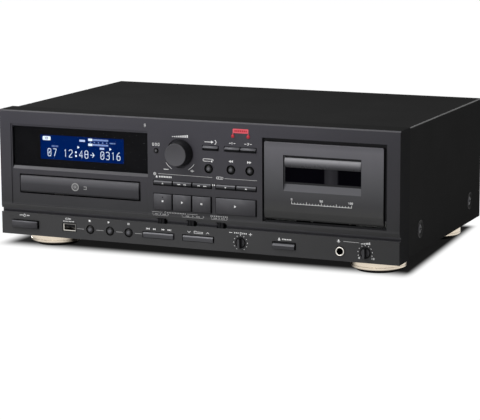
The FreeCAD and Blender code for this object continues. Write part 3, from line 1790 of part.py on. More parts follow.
def rec_level_knob():
    """The large tapered knob with its shaft in the level control."""
    body = new_body("rec_level_knob")
    profile = Drawing(body, "side", d.level_across, up=d.level_height)
    base = d.level_recess_depth - 0.4
    face = -d.knob_reach
    profile.outline([
        (9, 0), (9, d.shaft_radius), (base, d.shaft_radius), (base, d.level_base),
        (face, d.level_front), (face, 0),
    ])
    turn("Revolution", profile, "across")
    piece("rec_level_knob", body)


def dial(label, across):
    """A small dial: a disc with a raised grip across it."""
    body = new_body(label)
    height = d.strip_dial_height
    pad(Drawing(body, "front", -0.5).circle(across, height, d.dial_radius), 3)
    pad(Drawing(body, "front", 2.5).circle(across, height, DIAL_SHAFT), 6.5)
    grip = Drawing(body, "front", -d.dial_reach, across=across, up=height)
    reach = d.dial_radius - 0.5
    wide = d.dial_grip / 2
    grip.outline([
        (-wide, -reach), (wide, -reach), (wide, reach), (0, reach + 0.3), (-wide, reach),
    ])
    pad(grip, d.dial_reach)
    piece(label, body)


# Every piece, the keys before the board that carries their switches

keys()
round_buttons()
for label, left, wide in ROCKERS:
    rocker(label, left, wide)
for label, across in SLIDE_SWITCHES:
    slide_knob(label, across)
rec_level_knob()
for label, across in DIALS:
    dial(label, across)
front_panel()
display_window()
display_module()
top_cover()
base_chassis()
rear_panel()
case_screws()
feet()
usb_socket()
mic_jack()
mains_inlet()
line_jacks()
main_board()
power_transformer()
control_board()
cd_tray()
cd_tray_fascia()
loader_pinion()
cd_loader_frame()
cd_turntable()
pickup_sled()
cassette_door()
door_window()
cassette_holder()
tape_chassis()
reel_spindle("supply_spindle", d.door_middle - d.hub_spacing / 2)
reel_spindle("takeup_spindle", d.door_middle + d.hub_spacing / 2)
capstan_flywheel()
pinch_roller_arm()
head_block()
tape_motor()


# Build, check and export

doc.recompute()
REMOVING = {"PartDesign::Pocket": 1, "PartDesign::Groove": 1}
for item in doc.Objects:
    state = set(item.State)
    if state & {"Invalid", "Error"}:
        raise SystemExit("%s is in state %s" % (item.Label, sorted(state)))
    if item.TypeId in REMOVING and item.BaseFeature is not None:
        if item.Shape.Volume >= item.BaseFeature.Shape.Volume:
            raise SystemExit("%s removes nothing" % item.Label)
labels = [thing.Label for thing in PIECES]
if len(set(labels)) != len(labels):
    raise SystemExit("two pieces share a name")
for thing in PIECES:
    shape = thing.Shape
    if shape.isNull() or not shape.isValid() or not shape.Solids:
        raise SystemExit("%s has no valid solid" % thing.Label)
    shape.exportStep("parts/%s.step" % thing.Label)
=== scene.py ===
import bmesh
import bpy
from math import cos, hypot, pi, radians, sin, sqrt
from mathutils import Matrix, Vector

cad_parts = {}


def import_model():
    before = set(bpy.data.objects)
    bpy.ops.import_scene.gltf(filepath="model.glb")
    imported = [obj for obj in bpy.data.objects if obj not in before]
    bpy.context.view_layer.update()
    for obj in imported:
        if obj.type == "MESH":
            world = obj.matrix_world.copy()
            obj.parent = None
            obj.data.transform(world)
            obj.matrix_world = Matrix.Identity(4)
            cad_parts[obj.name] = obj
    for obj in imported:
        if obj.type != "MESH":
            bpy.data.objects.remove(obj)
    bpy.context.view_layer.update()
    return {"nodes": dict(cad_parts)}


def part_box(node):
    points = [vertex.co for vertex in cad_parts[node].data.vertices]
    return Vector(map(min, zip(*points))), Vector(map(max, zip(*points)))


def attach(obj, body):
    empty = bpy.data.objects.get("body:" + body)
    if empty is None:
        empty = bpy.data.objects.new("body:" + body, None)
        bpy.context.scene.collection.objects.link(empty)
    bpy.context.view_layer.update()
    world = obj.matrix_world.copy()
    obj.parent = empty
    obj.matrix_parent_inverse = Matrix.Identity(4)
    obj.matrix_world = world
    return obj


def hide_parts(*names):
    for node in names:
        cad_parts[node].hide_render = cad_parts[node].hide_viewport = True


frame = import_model()
nodes = frame["nodes"]

MM = 0.001
PANEL_Y = -134.75
PANEL_Z = 15.5
PANEL_SHIFT = Vector((0, PANEL_Y, PANEL_Z))


def at(x, y, z):
    """A point given in millimetres from the middle of the panel's lower front edge."""
    return (Vector((x, y, z)) + PANEL_SHIFT) * MM


def panel_box(node):
    """A CAD node's lowest and highest corner and its middle in the panel's millimetres."""
    low, high = (corner / MM - PANEL_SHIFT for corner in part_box(node))
    return low, high, (low + high) / 2


# Materials

WHITE = (1.0, 1.0, 1.0, 1.0)


def tone(*parts):
    """A colour as it shows on a screen, or one part for a grey, turned into linear light."""
    shares = [part / 255 for part in (parts * 3)[:3]]
    light = (s / 12.92 if s < 0.04 else ((s + 0.055) / 1.055) ** 2.4 for s in shares)
    return (*light, 1.0)


def dimmed(colour, factor):
    """A colour with its light scaled."""
    return tuple(part * factor for part in colour[:3]) + (1.0,)


class Paint:
    """A procedural material under construction."""

    def __init__(self, roughness=0.5, specular=0.5, metallic=0.0, **fixed):
        self.made = bpy.data.materials.new("paint")
        self.made.use_nodes = True
        self.tree = self.made.node_tree
        self.shader = self.tree.nodes["Principled BSDF"]
        fixed.update(Specular_IOR_Level=specular, Metallic=metallic)
        for socket, value in fixed.items():
            self.shader.inputs[socket.replace("_", " ")].default_value = value
        self.roughness = roughness
        self.place = self.node("TexCoord").outputs["Object"]
        self.normal = None

    def node(self, kind, links=None, **values):
        """A new shader node with its values set and its inputs linked."""
        made = self.tree.nodes.new("ShaderNode" + kind)
        for key, value in values.items():
            if key in made.inputs:
                made.inputs[key].default_value = value
            else:
                setattr(made, key, value)
        for socket, source in (links or {}).items():
            self.tree.links.new(source, made.inputs[socket])
        return made

    def feed(self, socket, value):
        """Set an input to a colour, or link it to the output of another node."""
        if isinstance(value, tuple):
            socket.default_value = value
        else:
            self.tree.links.new(value, socket)

    def stretched(self, scale):
        """The place on the surface, scaled apart along each axis."""
        return self.node("Mapping", {"Vector": self.place}, Scale=scale).outputs["Vector"]

    def noise(self, scale, detail=3.0, place=None):
        """A noise from 0 to 1, by its size per metre."""
        made = self.node("TexNoise", {"Vector": place or self.place}, Scale=scale, Detail=detail)
        return made.outputs["Fac"]

    def spread(self, source, low, high, start=0.3, end=0.7):
        """The source's range from start to end moved to low..high."""
        made = self.node("MapRange", {"Value": source})
        for place, value in enumerate((start, end, low, high), 1):
            made.inputs[place].default_value = value
        return made.outputs["Result"]

    def mixed(self, factor, first, second):
        """Two colours, or the outputs of two nodes, mixed by a factor."""
        made = self.node("Mix", {0: factor}, data_type="RGBA")
        self.feed(made.inputs[6], first)
        self.feed(made.inputs[7], second)
        return made.outputs[2]

    def varied(self, source, colour, low, high):
        """A colour whose light varies with the source."""
        return self.mixed(self.spread(source, 0.0, 1.0), dimmed(colour, low), dimmed(colour, high))

    def product(self, first, second):
        """Two outputs multiplied."""
        return self.node("Math", {0: first, 1: second}, operation="MULTIPLY").outputs[0]

    def along(self, axis):
        """The place along one axis, in metres."""
        return self.node("SeparateXYZ", {"Vector": self.place}).outputs[axis]

    def graded(self, colours, axis):
        """Colours that follow each other along an axis, by their places in panel millimetres."""
        shift = PANEL_SHIFT["XYZ".index(axis)]
        low, high = colours[0][0], colours[-1][0]
        share = self.spread(self.along(axis), 0.0, 1.0, (low + shift) * MM, (high + shift) * MM)
        made = self.node("ValToRGB", {"Fac": share})
        elements = made.color_ramp.elements
        for place, colour in colours[1:-1]:
            elements.new((place - low) / (high - low)).color = colour
        elements[0].color, elements[-1].color = colours[0][1], colours[-1][1]
        return made.outputs["Color"]

    def bump(self, height, distance, strength=1.0):
        """One more layer of relief, distance in metres."""
        links = {"Height": height}
        if self.normal:
            links["Normal"] = self.normal
        made = self.node("Bump", links, Distance=distance, Strength=strength)
        self.normal = made.outputs["Normal"]

    def rounded(self, radius):
        """Edges that catch the light as if they were rounded."""
        self.normal = self.node("Bevel", Radius=radius, samples=4).outputs["Normal"]

    def coloured(self, colour):
        """Link or set the base colour."""
        self.feed(self.shader.inputs["Base Color"], colour)

    def glow(self, colour):
        """Light that the surface gives off, as bright as the colour shows."""
        self.tree.links.new(colour, self.shader.inputs["Emission Color"])
        self.shader.inputs["Emission Strength"].default_value = 1.0

    def done(self, rough_source=None, swing=0.05):
        """Finish the material; the roughness swings about its middle with the source."""
        if rough_source is not None:
            rough = self.spread(rough_source, self.roughness - swing, self.roughness + swing)
            self.tree.links.new(rough, self.shader.inputs["Roughness"])
        else:
            self.shader.inputs["Roughness"].default_value = self.roughness
        if self.normal:
            self.tree.links.new(self.normal, self.shader.inputs["Normal"])
        return self.made


def moulded(colour, roughness, specular=0.2, grain=2600.0, depth=0.00002, mottle=0.05,
            round_edge=0.0, axis="Z", fade=None):
    """Moulded or painted surfaces: a fine grain, a faint cloudiness and uneven gloss; a list of
    colours is painted light and shade graded along an axis, and a fade paints shade towards the
    right.
    """
    paint = Paint(roughness, specular)
    cloud = paint.noise(14.0, 4.0)
    if isinstance(colour, list):
        value = paint.spread(cloud, 1 - mottle, 1 + mottle)
        if fade:
            start, end, share = fade
            weaker = paint.spread(paint.along("X"), 1.0, share, start * MM, end * MM)
            value = paint.product(value, weaker)
        shaded = paint.node("HueSaturation", {"Color": paint.graded(colour, axis), "Value": value})
        paint.coloured(shaded.outputs["Color"])
    else:
        paint.coloured(paint.varied(cloud, colour, 1 - mottle, 1 + mottle))
    if round_edge:
        paint.rounded(round_edge)
    paint.bump(paint.noise(grain, 2.0), depth, 0.5)
    return paint.done(paint.noise(220.0, 3.0), 0.05)


def metal(colour, roughness, stretch=(60.0, 900.0, 900.0), depth=0.000004):
    """Metals with a fine directional finish."""
    paint = Paint(roughness, 0.5, 1.0)
    brushed = paint.noise(1.0, 4.0, paint.stretched(stretch))
    paint.coloured(paint.varied(brushed, colour, 0.86, 1.0))
    paint.bump(brushed, depth, 0.6)
    return paint.done(paint.noise(90.0, 3.0), 0.06)


def board_paint():
    """Solder mask over copper tracks, with small pale pads."""
    paint = Paint(0.35, 0.4)
    tracks = paint.node("TexBrick", {"Vector": paint.place}, Scale=60.0, offset=0.35)
    tracks.inputs["Mortar Size"].default_value = 0.06
    tracks.inputs["Color1"].default_value = tone(12, 52, 30)
    tracks.inputs["Color2"].default_value = tone(14, 60, 34)
    tracks.inputs["Mortar"].default_value = tone(30, 96, 56)
    pads = paint.node("TexVoronoi", {"Vector": paint.place}, Scale=240.0, Randomness=0.4)
    spots = paint.spread(pads.outputs["Distance"], 1.0, 0.0, 0.16, 0.2)
    paint.coloured(paint.mixed(spots, tracks.outputs["Color"], tone(180, 182, 180)))
    paint.bump(tracks.outputs["Fac"], 0.00003)
    return paint.done(paint.noise(300.0), 0.05)


def glowing(colour, ripple=0.06, scale=900.0):
    """Surfaces that give off light: the display's lit marks, and the window mask's faint painted
    glow; a little unevenness in what they give off.
    """
    paint = Paint(0.4, 0.02)
    paint.coloured(dimmed(colour, 0.2))
    paint.glow(paint.varied(paint.noise(scale, 2.0), colour, 1 - ripple, 1 + ripple))
    return paint.done()


def lit_field():
    """The lit field of the display: deep blue cells, a little uneven."""
    paint = Paint(0.3, 0.01)
    waves = [
        paint.node("TexWave", {"Vector": paint.stretched(way)}, Scale=330.0, bands_direction=name)
        for way, name in (((1.0, 0.0, 0.0), "X"), ((0.0, 0.0, 1.0), "Z"))
    ]
    grid = paint.product(*(wave.outputs["Fac"] for wave in waves))
    cells = paint.mixed(grid, tone(0, 27, 86), tone(0, 33, 98))
    uneven = paint.spread(paint.noise(22.0), 0.0, 1.0)
    paint.coloured(tone(0, 6, 20))
    paint.glow(paint.mixed(uneven, tone(0, 27, 86), cells))
    return paint.done()


def smoked():
    """The display window: dark clear plastic with faint polish marks."""
    paint = Paint(0.03, 0.01, Transmission_Weight=1.0, IOR=1.03)
    haze = paint.spread(paint.noise(40.0), 0.0, 1.0)
    paint.coloured(paint.mixed(haze, tone(236, 238, 246), tone(242, 244, 250)))
    return paint.done(paint.noise(600.0), 0.015)


def stops(*rows):
    """Tones graded by place, mostly painted light and shade; a single tone is made nearly neutral.
    """
    made = []
    for place, *shade in rows:
        if len(shade) == 1:
            shade = shade[0], shade[0] - 0.5, shade[0] + 3
        made.append((place, tone(*shade)))
    return made


# painted light and shade on the panel: lighter towards its top, darker by the groove, and a
# painted highlight line at the groove's upper bevel
PANEL_TONES = stops(
    (0, 55, 55, 56), (22, 55, 55, 56), (26, 52, 52, 53), (30, 51, 51, 52), (31, 57, 57, 58),
    (32.6, 55, 55, 57), (34, 46, 46, 48), (60, 53, 52, 56), (118, 57, 56, 62),
    (129.5, 59, 58, 64),
)
# painted light and shade on the door: a painted sheen lighter towards its top, and darker below 45
# mm where its lower edge curls back
DOOR_TONES = stops(
    (36.3, 50, 50, 50), (44.2, 47, 47, 47), (45.6, 54, 54, 54), (55, 53, 53, 55),
    (80, 76, 76, 79), (107, 94, 93, 98), (112.7, 84, 83, 88),
)
# painted light and shade on the tray's front: dark along its bottom, lighter to a painted
# highlight along its top
TRAY_TONES = stops((45.3, 20), (46.3, 24), (47, 46), (54, 53), (58, 76), (61.2, 90), (62.3, 80))
GLASS_TONES = stops((98, 4), (140, 4), (140.8, 36), (146, 46), (153, 40), (155, 4), (179, 4))
# painted light and shade on the window's brow: dark at its lower edge, lighter to a painted
# highlight at its top
BROW_TONES = stops((88.3, 26), (90.6, 60), (93, 94), (96.6, 148), (97.9, 128))
# painted shade in the switch groove, and a painted highlight along its upper line
GROOVE_TONES = stops((23, 45), (24.3, 44), (25.3, 70), (27, 92))
# painted shade: the panel and its groove grow darker towards the right end
FADE = 60, 217        # where the panel darkens towards its right end
INK = 0.6, 0.1, 4000.0, 0.00001
COVER = 0.7, 0.0, 1500.0, 0.00006
PLASTICS = {
    # tone, roughness and specular level; then the grain per metre, its depth and the cloudiness
    # the panel's side and top, its recesses and its deep places are darker copies of the moulding:
    # painted shade
    "panel_side": ((47, 47, 48), 0.6, 0.0),
    "panel_top": ((42,), 0.7, 0.0),
    "panel_lip": ((66, 66, 68), 0.4),
    "moat": ((44, 44, 46), 0.5, 0.05, 2000.0),
    "black": ((12, 12, 13), 0.6, 0.05, 2000.0),
    "dark": ((24, 24, 26), 0.5, 0.08, 2000.0),
    "door_lit": ((80, 80, 84), 0.4),
    # the cover's sides are painted lighter to make up for the light they lack, its top edges have
    # a glossier finish and a lighter painted highlight, and its dimples a strong mottle that
    # stands in for glints
    "cover": ((46,), *COVER),
    "cover_side": ((51,), *COVER),
    "cover_edge": ((52,), 0.42, 0.3, 1500.0, 0.00003),
    "dimple": ((46,), 0.5, 0.05, 260.0, 0.0006, 0.45),
    "back": ((40, 40, 41), 0.55, 0.02, 1700.0, 0.00005),
    "key_lit": ((96, 96, 100), 0.36),
    "key_face": ((53, 53, 56), 0.38),
    "key_side": ((24, 24, 26), 0.5, 0.05),
    "rocker_face": ((66, 66, 69), 0.38),
    "rocker_lit": ((124, 124, 128), 0.36),
    "dome_rim": ((27,), 0.3, 0.08),
    "dome_slope": ((50, 50, 53), 0.26),
    "dome_crown": ((88, 88, 92), 0.24),
    "knob_side": ((30, 30, 32), 0.4, 0.1, 3200.0),
    "dial_face": ((56, 56, 58), 0.4),
    "dial_side": ((24, 24, 25), 0.45, 0.06),
    "ink": ((225,), *INK, 0.03),
    "grey_ink": ((172,), *INK, 0.03),
    "dull_ink": ((140,), *INK, 0.03),
    "dark_ink": ((24, 24, 26), *INK),
    "red_ink": ((214, 92, 102), 0.55, 0.1, 4000.0, 0.00001),
    "deep_red": ((160, 34, 48), 0.55, 0.1, 4000.0, 0.00001),
    "lens": ((170, 24, 40), 0.2, 0.4, 1600.0, 0.00001),
    "rubber": ((24,), 0.85, 0.1, 1200.0, 0.00008),
    "white": ((205, 205, 198), 0.45, 0.4, 1800.0),
    "signal_red": ((170, 30, 34), 0.4, 0.4),
}
METALS = {
    # tone and roughness; then the brushing per metre along each axis and its depth
    "steel": ((150, 152, 150), 0.42),
    "bright": ((226, 222, 214), 0.2),
    "shaded": ((120, 118, 116), 0.35),
    "screw": ((58, 58, 60), 0.42),
    "brass": ((205, 170, 96), 0.3),
    "copper": ((180, 96, 54), 0.35),
    "core": ((70, 72, 76), 0.5, (40.0, 3500.0, 40.0), 0.00004),
    "foot": ((232, 219, 200), 0.26, (8.0, 8.0, 260.0), 0.0000015),
}
GLOWS = {
    "segments": ((232, 242, 252),),
    "soft_segments": ((186, 200, 230),),
    "faint_segments": ((120, 142, 190),),
    "mask": ((16, 16, 17), 0.15, 40.0),
}
PAINTS = {
    # the panel's tones are painted light and shade, graded upward and fading darker towards its
    # right end
    "panel": moulded(PANEL_TONES, 0.42, round_edge=0.0004, fade=(*FADE, 0.64)),
    # painted highlights on the bevel under the display and on the top edge, graded along the width
    "panel_lit": moulded(stops((-203, 88), (-120, 68), (-48, 64)), 0.4, axis="X"),
    "panel_edge": moulded(stops((-217, 57), (0, 66), (217, 76)), 0.38, axis="X"),
    "groove": moulded(GROOVE_TONES, 0.5, 0.1, fade=(*FADE, 0.8)),
    # the door's tones are painted light and shade
    "door": moulded(DOOR_TONES, 0.4, round_edge=0.0005),
    "door_glass": moulded(GLASS_TONES, 0.2, 0.005, 900.0, 0.000001, 0.4, axis="X"),
    "brow": moulded(BROW_TONES, 0.3, depth=0.000008),
    "tray_front": moulded(TRAY_TONES, 0.38, round_edge=0.0003),
    # the big keys and the power key are painted lighter towards their tops, as a highlight
    "big_key": moulded(stops((37.5, 56), (43, 63), (51, 78), (53.3, 82)), 0.36),
    "power_key": moulded(stops((7.5, 52), (14.9, 68)), 0.36),
    "knob_face": moulded(stops((84, 74), (107, 60)), 0.4, 0.25, 3200.0),
    "board": board_paint(), "lcd": lit_field(), "window": smoked(),
}
for make, table in ((moulded, PLASTICS), (metal, METALS), (glowing, GLOWS)):
    for name, (shade, *rest) in table.items():
        PAINTS[name] = make(tone(*shade), *rest)
for name, paint in PAINTS.items():
    paint.name = name


# Shape building


class Shape:
    """A mesh under construction in the panel's millimetres, with a material for each face."""

    def __init__(self):
        self.mesh = bmesh.new()
        self.slots = []

    def slot(self, paint):
        """The face index that stands for a material."""
        if paint not in self.slots:
            self.slots.append(paint)
        return self.slots.index(paint)

    def face(self, points, paint, smooth=False):
        """One face through mesh points."""
        made = self.mesh.faces.new(points)
        made.material_index = self.slot(paint)
        made.smooth = smooth
        return made

    def point(self, x, y, z):
        """A mesh point."""
        return self.mesh.verts.new(at(x, y, z))

    def prism(self, outline, front, back, paint):
        """A plate whose outline is given as places across and heights."""
        rows = [[self.point(x, y, z) for x, z in outline] for y in (front, back)]
        self.closed(rows, paint, [paint] * len(outline))

    def skin(self, rows, paints):
        """Faces between neighbouring rows of points, each row closed in itself."""
        for first, second in zip(rows, rows[1:]):
            for here, paint in enumerate(paints):
                there = (here + 1) % len(first)
                self.face([first[here], second[here], second[there], first[there]], paint)

    def closed(self, rows, end, sides):
        """A solid through rows of points, with a face at both ends."""
        self.face(rows[0], end)
        self.face(rows[-1][::-1], end)
        self.skin(rows, sides)

    def band(self, inner, outer, front, back, paint):
        """A plate between two closed outlines with the same number of points."""
        loops = [
            [self.point(x, y, z) for x, z in outline]
            for outline, y in ((inner, front), (outer, front), (outer, back), (inner, back))
        ]
        self.skin(loops + loops[:1], [paint] * len(inner))

    def lathe(self, profile, place, axis="y", turns=72):
        """A turned shape; the profile lists radius, distance along the axis and a material."""
        rings = []
        for radius, along, paint in profile:
            ring = []
            for step in range(turns if radius else 1):
                angle = 2 * pi * step / turns
                across, up = radius * cos(angle), radius * sin(angle)
                spot = {
                    "y": (place[0] + across, along, place[2] + up),
                    "z": (place[0] + across, place[1] + up, along),
                    "x": (along, place[1] + across, place[2] + up),
                }[axis]
                ring.append(self.point(*spot))
            rings.append(ring)
        for number, (first, second) in enumerate(zip(rings, rings[1:])):
            paint = profile[number + 1][2]
            for step in range(turns):
                after = (step + 1) % turns
                corners = [first[step % len(first)], first[after % len(first)],
                           second[after % len(second)], second[step % len(second)]]
                unique = list(dict.fromkeys(corners))
                if len(unique) > 2:
                    self.face(unique, paint, True)

    def bar(self, sections):
        """A bar along the width: sections list a place and corners of depth, height and paint."""
        rows = [[self.point(x, y, z) for y, z, paint in corners] for x, corners in sections]
        self.closed(rows, "key_side", [paint for y, z, paint in sections[0][1]])

    def sharp(self, angle):
        """The edges whose faces meet at more than an angle in degrees."""
        return [edge for edge in self.mesh.edges
                if len(edge.link_faces) == 2 and edge.calc_face_angle(0) > radians(angle)]

    def soften(self, width):
        """Round the sharp edges."""
        bmesh.ops.bevel(
            self.mesh, geom=self.sharp(30), offset=width * MM, segments=2, profile=0.5,
            affect="EDGES", clamp_overlap=True,
        )
        for one in self.mesh.faces:
            one.smooth = True

    def made(self, name, body, slot=None, replaced=()):
        """The finished object, riding on its body."""
        bmesh.ops.remove_doubles(self.mesh, verts=self.mesh.verts, dist=0.000002)
        bmesh.ops.recalc_face_normals(self.mesh, faces=self.mesh.faces)
        for edge in self.sharp(35):
            edge.smooth = False
        data = bpy.data.meshes.new(name)
        self.mesh.to_mesh(data)
        self.mesh.free()
        thing = placed(name, data)
        for paint in self.slots:
            data.materials.append(PAINTS[paint])
        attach(thing, body)
        if replaced:
            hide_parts(*replaced)
        return thing


def turned(name, body, profile, place, axis, turns, slot=None, replaced=()):
    """A piece that is one turned shape."""
    shape = Shape()
    shape.lathe(profile, place, axis, turns)
    return shape.made(name, body, slot, replaced)


def run(paint, *corners):
    """Corners of a turned profile that share a paint: radius and distance along the axis."""
    return [(*corner, paint) for corner in corners]


def placed(name, data):
    """A new object in the scene."""
    thing = bpy.data.objects.new(name, data)
    bpy.context.scene.collection.objects.link(thing)
    return thing


# Marks


def rectangle(left, right, low, high):
    return [(left, low), (right, low), (right, high), (left, high)]


def oval(across, height, wide, tall, count=32, power=2):
    """A closed ring; a power above 2 squares it off towards a rounded rectangle."""
    points = []
    for step in range(count):
        x, z = cos(2 * pi * step / count), sin(2 * pi * step / count)
        scale = (abs(x) ** power + abs(z) ** power) ** (-1 / power)
        points.append((across + x * scale * wide, height + z * scale * tall))
    return points


def arc(across, height, radius, start, end, count=16):
    """Points along part of a circle, angles in degrees."""
    angles = [radians(start + (end - start) * step / count) for step in range(count + 1)]
    return [(across + radius * cos(a), height + radius * sin(a)) for a in angles]


def stroke(points, width, closed=False):
    """Both sides of a line with a width, its corners mitred."""
    points = [Vector(point) for point in points]
    count = len(points)
    left, right = [], []
    for here, point in enumerate(points):
        before = points[here - 1] if here or closed else None
        after = points[(here + 1) % count] if here < count - 1 or closed else None
        first = (point - before).normalized() if before else (after - point).normalized()
        second = (after - point).normalized() if after else first
        side = Vector((-first.y - second.y, first.x + second.x)).normalized()
        reach = width / 2 / max(side.dot(Vector((-first.y, first.x))), 0.6)
        left.append(tuple(point + side * reach))
        right.append(tuple(point - side * reach))
    return left, right


RING = [(0, 1), (0, 7), (1, 8), (3, 8), (4, 7), (4, 1), (3, 0), (1, 0)]
FIGURES = {
    "0": [RING, [(1.1, 2.6), (2.9, 5.4)]],
    "1": [[(0.9, 6.6), (2.2, 8), (2.2, 0)]],
    "2": [[(0, 6.6), (0, 7), (1, 8), (3, 8), (4, 7), (4, 5), (0, 1), (0, 0), (4, 0)]],
    "3": [[(0, 7), (1, 8), (3, 8), (4, 7), (4, 5), (3.2, 4.1), (4, 3.2), (4, 1), (3, 0), (1, 0),
           (0, 1)], [(1.4, 4.1), (2.7, 4.1)]],
    "4": [[(3, 0), (3, 8), (0, 3), (0, 2.2), (2.5, 2.2)], [(3.5, 2.2), (4.2, 2.2)]],
    "5": [[(4, 8), (0, 8), (0, 4.6), (3, 4.6), (4, 3.6), (4, 1), (3, 0), (1, 0), (0, 1)]],
    "6": [[(3.6, 8), (2.4, 8), (0, 5), (0, 1), (1, 0), (3, 0), (4, 1), (4, 3.4), (3, 4.4),
           (0.5, 4.4)]],
    "7": [[(0, 8), (4, 8), (4, 7), (1.4, 0)]],
    "8": [RING, [(0.5, 4.1), (3.5, 4.1)]],
}
FIGURE_WIDE, FIGURE_TALL = 4, 8


class Marks:
    """Printed marks on one face, collected and then made as one thin relief."""

    def __init__(self, face=0.0, thick=0.05, paint="ink"):
        self.front = face - thick
        self.back = face + 0.02
        self.paint = paint
        self.shape = Shape()

    def fill(self, *outlines, paint=None):
        for outline in outlines:
            self.shape.prism(outline, self.front, self.back, paint or self.paint)

    def band(self, inner, outer):
        self.shape.band(inner, outer, self.front, self.back, self.paint)

    def line(self, points, width=0.4, paint=None):
        left, right = stroke(points, width)
        self.fill(left + right[::-1], paint=paint)

    def loop(self, points, width=0.4):
        self.band(*stroke(points, width, True))

    def rule(self, left, right, height, width=0.4, paint=None):
        """A level line."""
        self.fill(rectangle(left, right, height - width / 2, height + width / 2), paint=paint)

    def ticks(self, left, right, low, high, count, share=0.52, grow=0.0, paint=None):
        """A row of small bars; grow raises their tops along the row."""
        pitch = (right - left) / (count - 1 + share)
        for step in range(count):
            start = left + step * pitch
            top = high - grow * (count - 1 - step) / (count - 1)
            self.fill(rectangle(start, start + pitch * share, low, top), paint=paint)

    def digits(self, text, left, low, wide=1.1, tall=2.0, pen=0.36, pitch=1.9, slashed=False):
        """Numerals by the centre lines of their strokes."""
        for place, sign in enumerate(text):
            for path in FIGURES[sign][:1] if sign == "0" and not slashed else FIGURES[sign]:
                points = [(left + place * pitch + x * wide / FIGURE_WIDE,
                           low + z * tall / FIGURE_TALL) for x, z in path]
                if path is RING:
                    self.loop(points, pen)
                else:
                    self.line(points, pen)

    def triangle(self, across, height, size, way="right"):
        """A solid arrow head that points up, down, left or right."""
        turn = radians({"right": 0, "up": 90, "left": 180, "down": 270}[way])
        corners = [(size * 0.55, 0), (-size * 0.45, size * 0.58), (-size * 0.45, -size * 0.58)]
        self.fill([
            (across + x * cos(turn) - z * sin(turn), height + x * sin(turn) + z * cos(turn))
            for x, z in corners
        ])

    def plus(self, across, height, wide, tall):
        """A plus sign."""
        self.rule(across - wide / 2, across + wide / 2, height, 0.55)
        self.line([(across, height - tall / 2), (across, height + tall / 2)], 0.55)

    def heads(self, across, height, size, way):
        """A pair of arrow heads."""
        for side in (-0.5, 0.5):
            self.triangle(across + size * side, height, size, way)

    def skip(self, across, height, size, way, wide):
        """A pair of arrow heads against a bar, and a second pair behind it."""
        reach = wide if way == "right" else -wide
        for side in (-1, 1):
            self.heads(across + reach * side, height, size, way)
        bar = across + reach + size * (1.22 if way == "right" else -1.22)
        self.fill(rectangle(bar - size * 0.14, bar + size * 0.14, height - size * 0.58,
                            height + size * 0.58))

    def eject(self, across, height, size):
        """An arrow head over a bar."""
        self.triangle(across, height + size * 0.15, size, "up")
        self.fill(rectangle(across - size * 0.55, across + size * 0.55, height - size * 0.62,
                            height - size * 0.4))

    def disc(self, across, height, radius):
        """A ring with a hub."""
        self.loop(oval(across, height, radius, radius), radius * 0.34)
        self.fill(oval(across, height, radius * 0.3, radius * 0.3, 16))


# Keys

FLANGE_FRONT, FLANGE_BACK = 3.1, 4.1
KEY_LIP = 1.2
SLIM_KEYS = "cd_open", "cd_skip_back", "cd_skip_forward", "dubbing", "tape_direction"


def button_made(shape, label):
    """A button's cap in place of its CAD node."""
    node = label + "_button"
    shape.made(node + "_cap", node + "_body", "key_black", [node])


def key(label, width, *corners):
    """A key cap by its corners from the lower edge up: depth, height, and paint above it."""
    low, high, middle = panel_box(label + "_button")
    bottom = low.z + KEY_LIP
    profile = [(FLANGE_FRONT, bottom, "key_side")]
    profile += [(depth, bottom + rise, paint) for depth, rise, paint in corners]
    profile.append((FLANGE_FRONT, profile[-1][1], "key_side"))
    shape = Shape()
    shape.bar([(x, profile) for x in (low.x, high.x)])
    shape.soften(width)
    x, z = middle.x, middle.z
    shape.prism(rectangle(low.x, high.x, low.z, high.z), FLANGE_FRONT, FLANGE_BACK, "dark")
    shape.prism(rectangle(x - 1.5, x + 1.5, z - 1.5, z + 1.5), FLANGE_BACK, high.y, "dark")
    button_made(shape, label)


# painted light and shade on the keys: their upper bevels lighter as a painted highlight, their
# sides and lower edges darker as painted shade
for label in SLIM_KEYS:
    key(label, 0.16, (-0.1, 0, "key_side"), (-1.0, 1.5, "key_face"), (-1.2, 3.3, "key_lit"),
        (-0.3, 4.5, "key_side"))
for label in ("source", "record_usb", "record_tape"):
    key(label, 0.16, (-0.3, 0, "key_side"), (-1.7, 2.2, "key_lit"), (0.3, 4.4, "key_side"))
key("eject", 0.2, (-1.8, 0, "key_face"), (-3.0, 3.4, "key_lit"), (-1.2, 5.2, "key_side"),
    (0.5, 6.5, "key_side"))
for label in ("cd_stop", "cd_play", "cd_pause", "tape_play"):
    key(label, 0.22, (-1.6, 0, "big_key"), (-1.6, 15.2, "key_lit"), (-1.0, 15.8, "key_side"))
key("power", 0.25, (-2.8, 0, "power_key"), (-3.0, 6.4, "key_lit"), (-2.2, 7.4, "key_side"))


def domed_button(label, radius):
    """A round push button: a dome painted dark at its rim as shade and lighter at its crown as a
    painted highlight.
    """
    low, high, centre = panel_box(label + "_button")
    sag = radius * 0.4
    sphere = (radius * radius + sag * sag) / (2 * sag)
    profile = run("dark", (0, high.y), (1.5, high.y), (1.5, FLANGE_BACK),
                  (radius + 1.0, FLANGE_BACK), (radius + 1.0, FLANGE_FRONT))
    profile += run("dome_rim", (radius, FLANGE_FRONT), (radius, low.y + sag))
    for share in (0.92, 0.82, 0.7, 0.56, 0.42, 0.28, 0.14, 0):
        r = radius * share
        drop = sphere - sqrt(sphere * sphere - r * r)
        paint = "dome_rim" if share > 0.6 else "dome_slope" if share > 0.4 else "dome_crown"
        profile.append((r, low.y + drop, paint))
    shape = Shape()
    shape.lathe(profile, (centre.x, 0, centre.z), "y", 56)
    button_made(shape, label)


for radius, labels in (
    (3.25, ("repeat", "rewind", "fast_forward")), (3.7, ("usb_stop", "usb_play", "usb_pause")),
    (2.0, ("counter_reset",)),
):
    for label in labels:
        domed_button(label, radius)


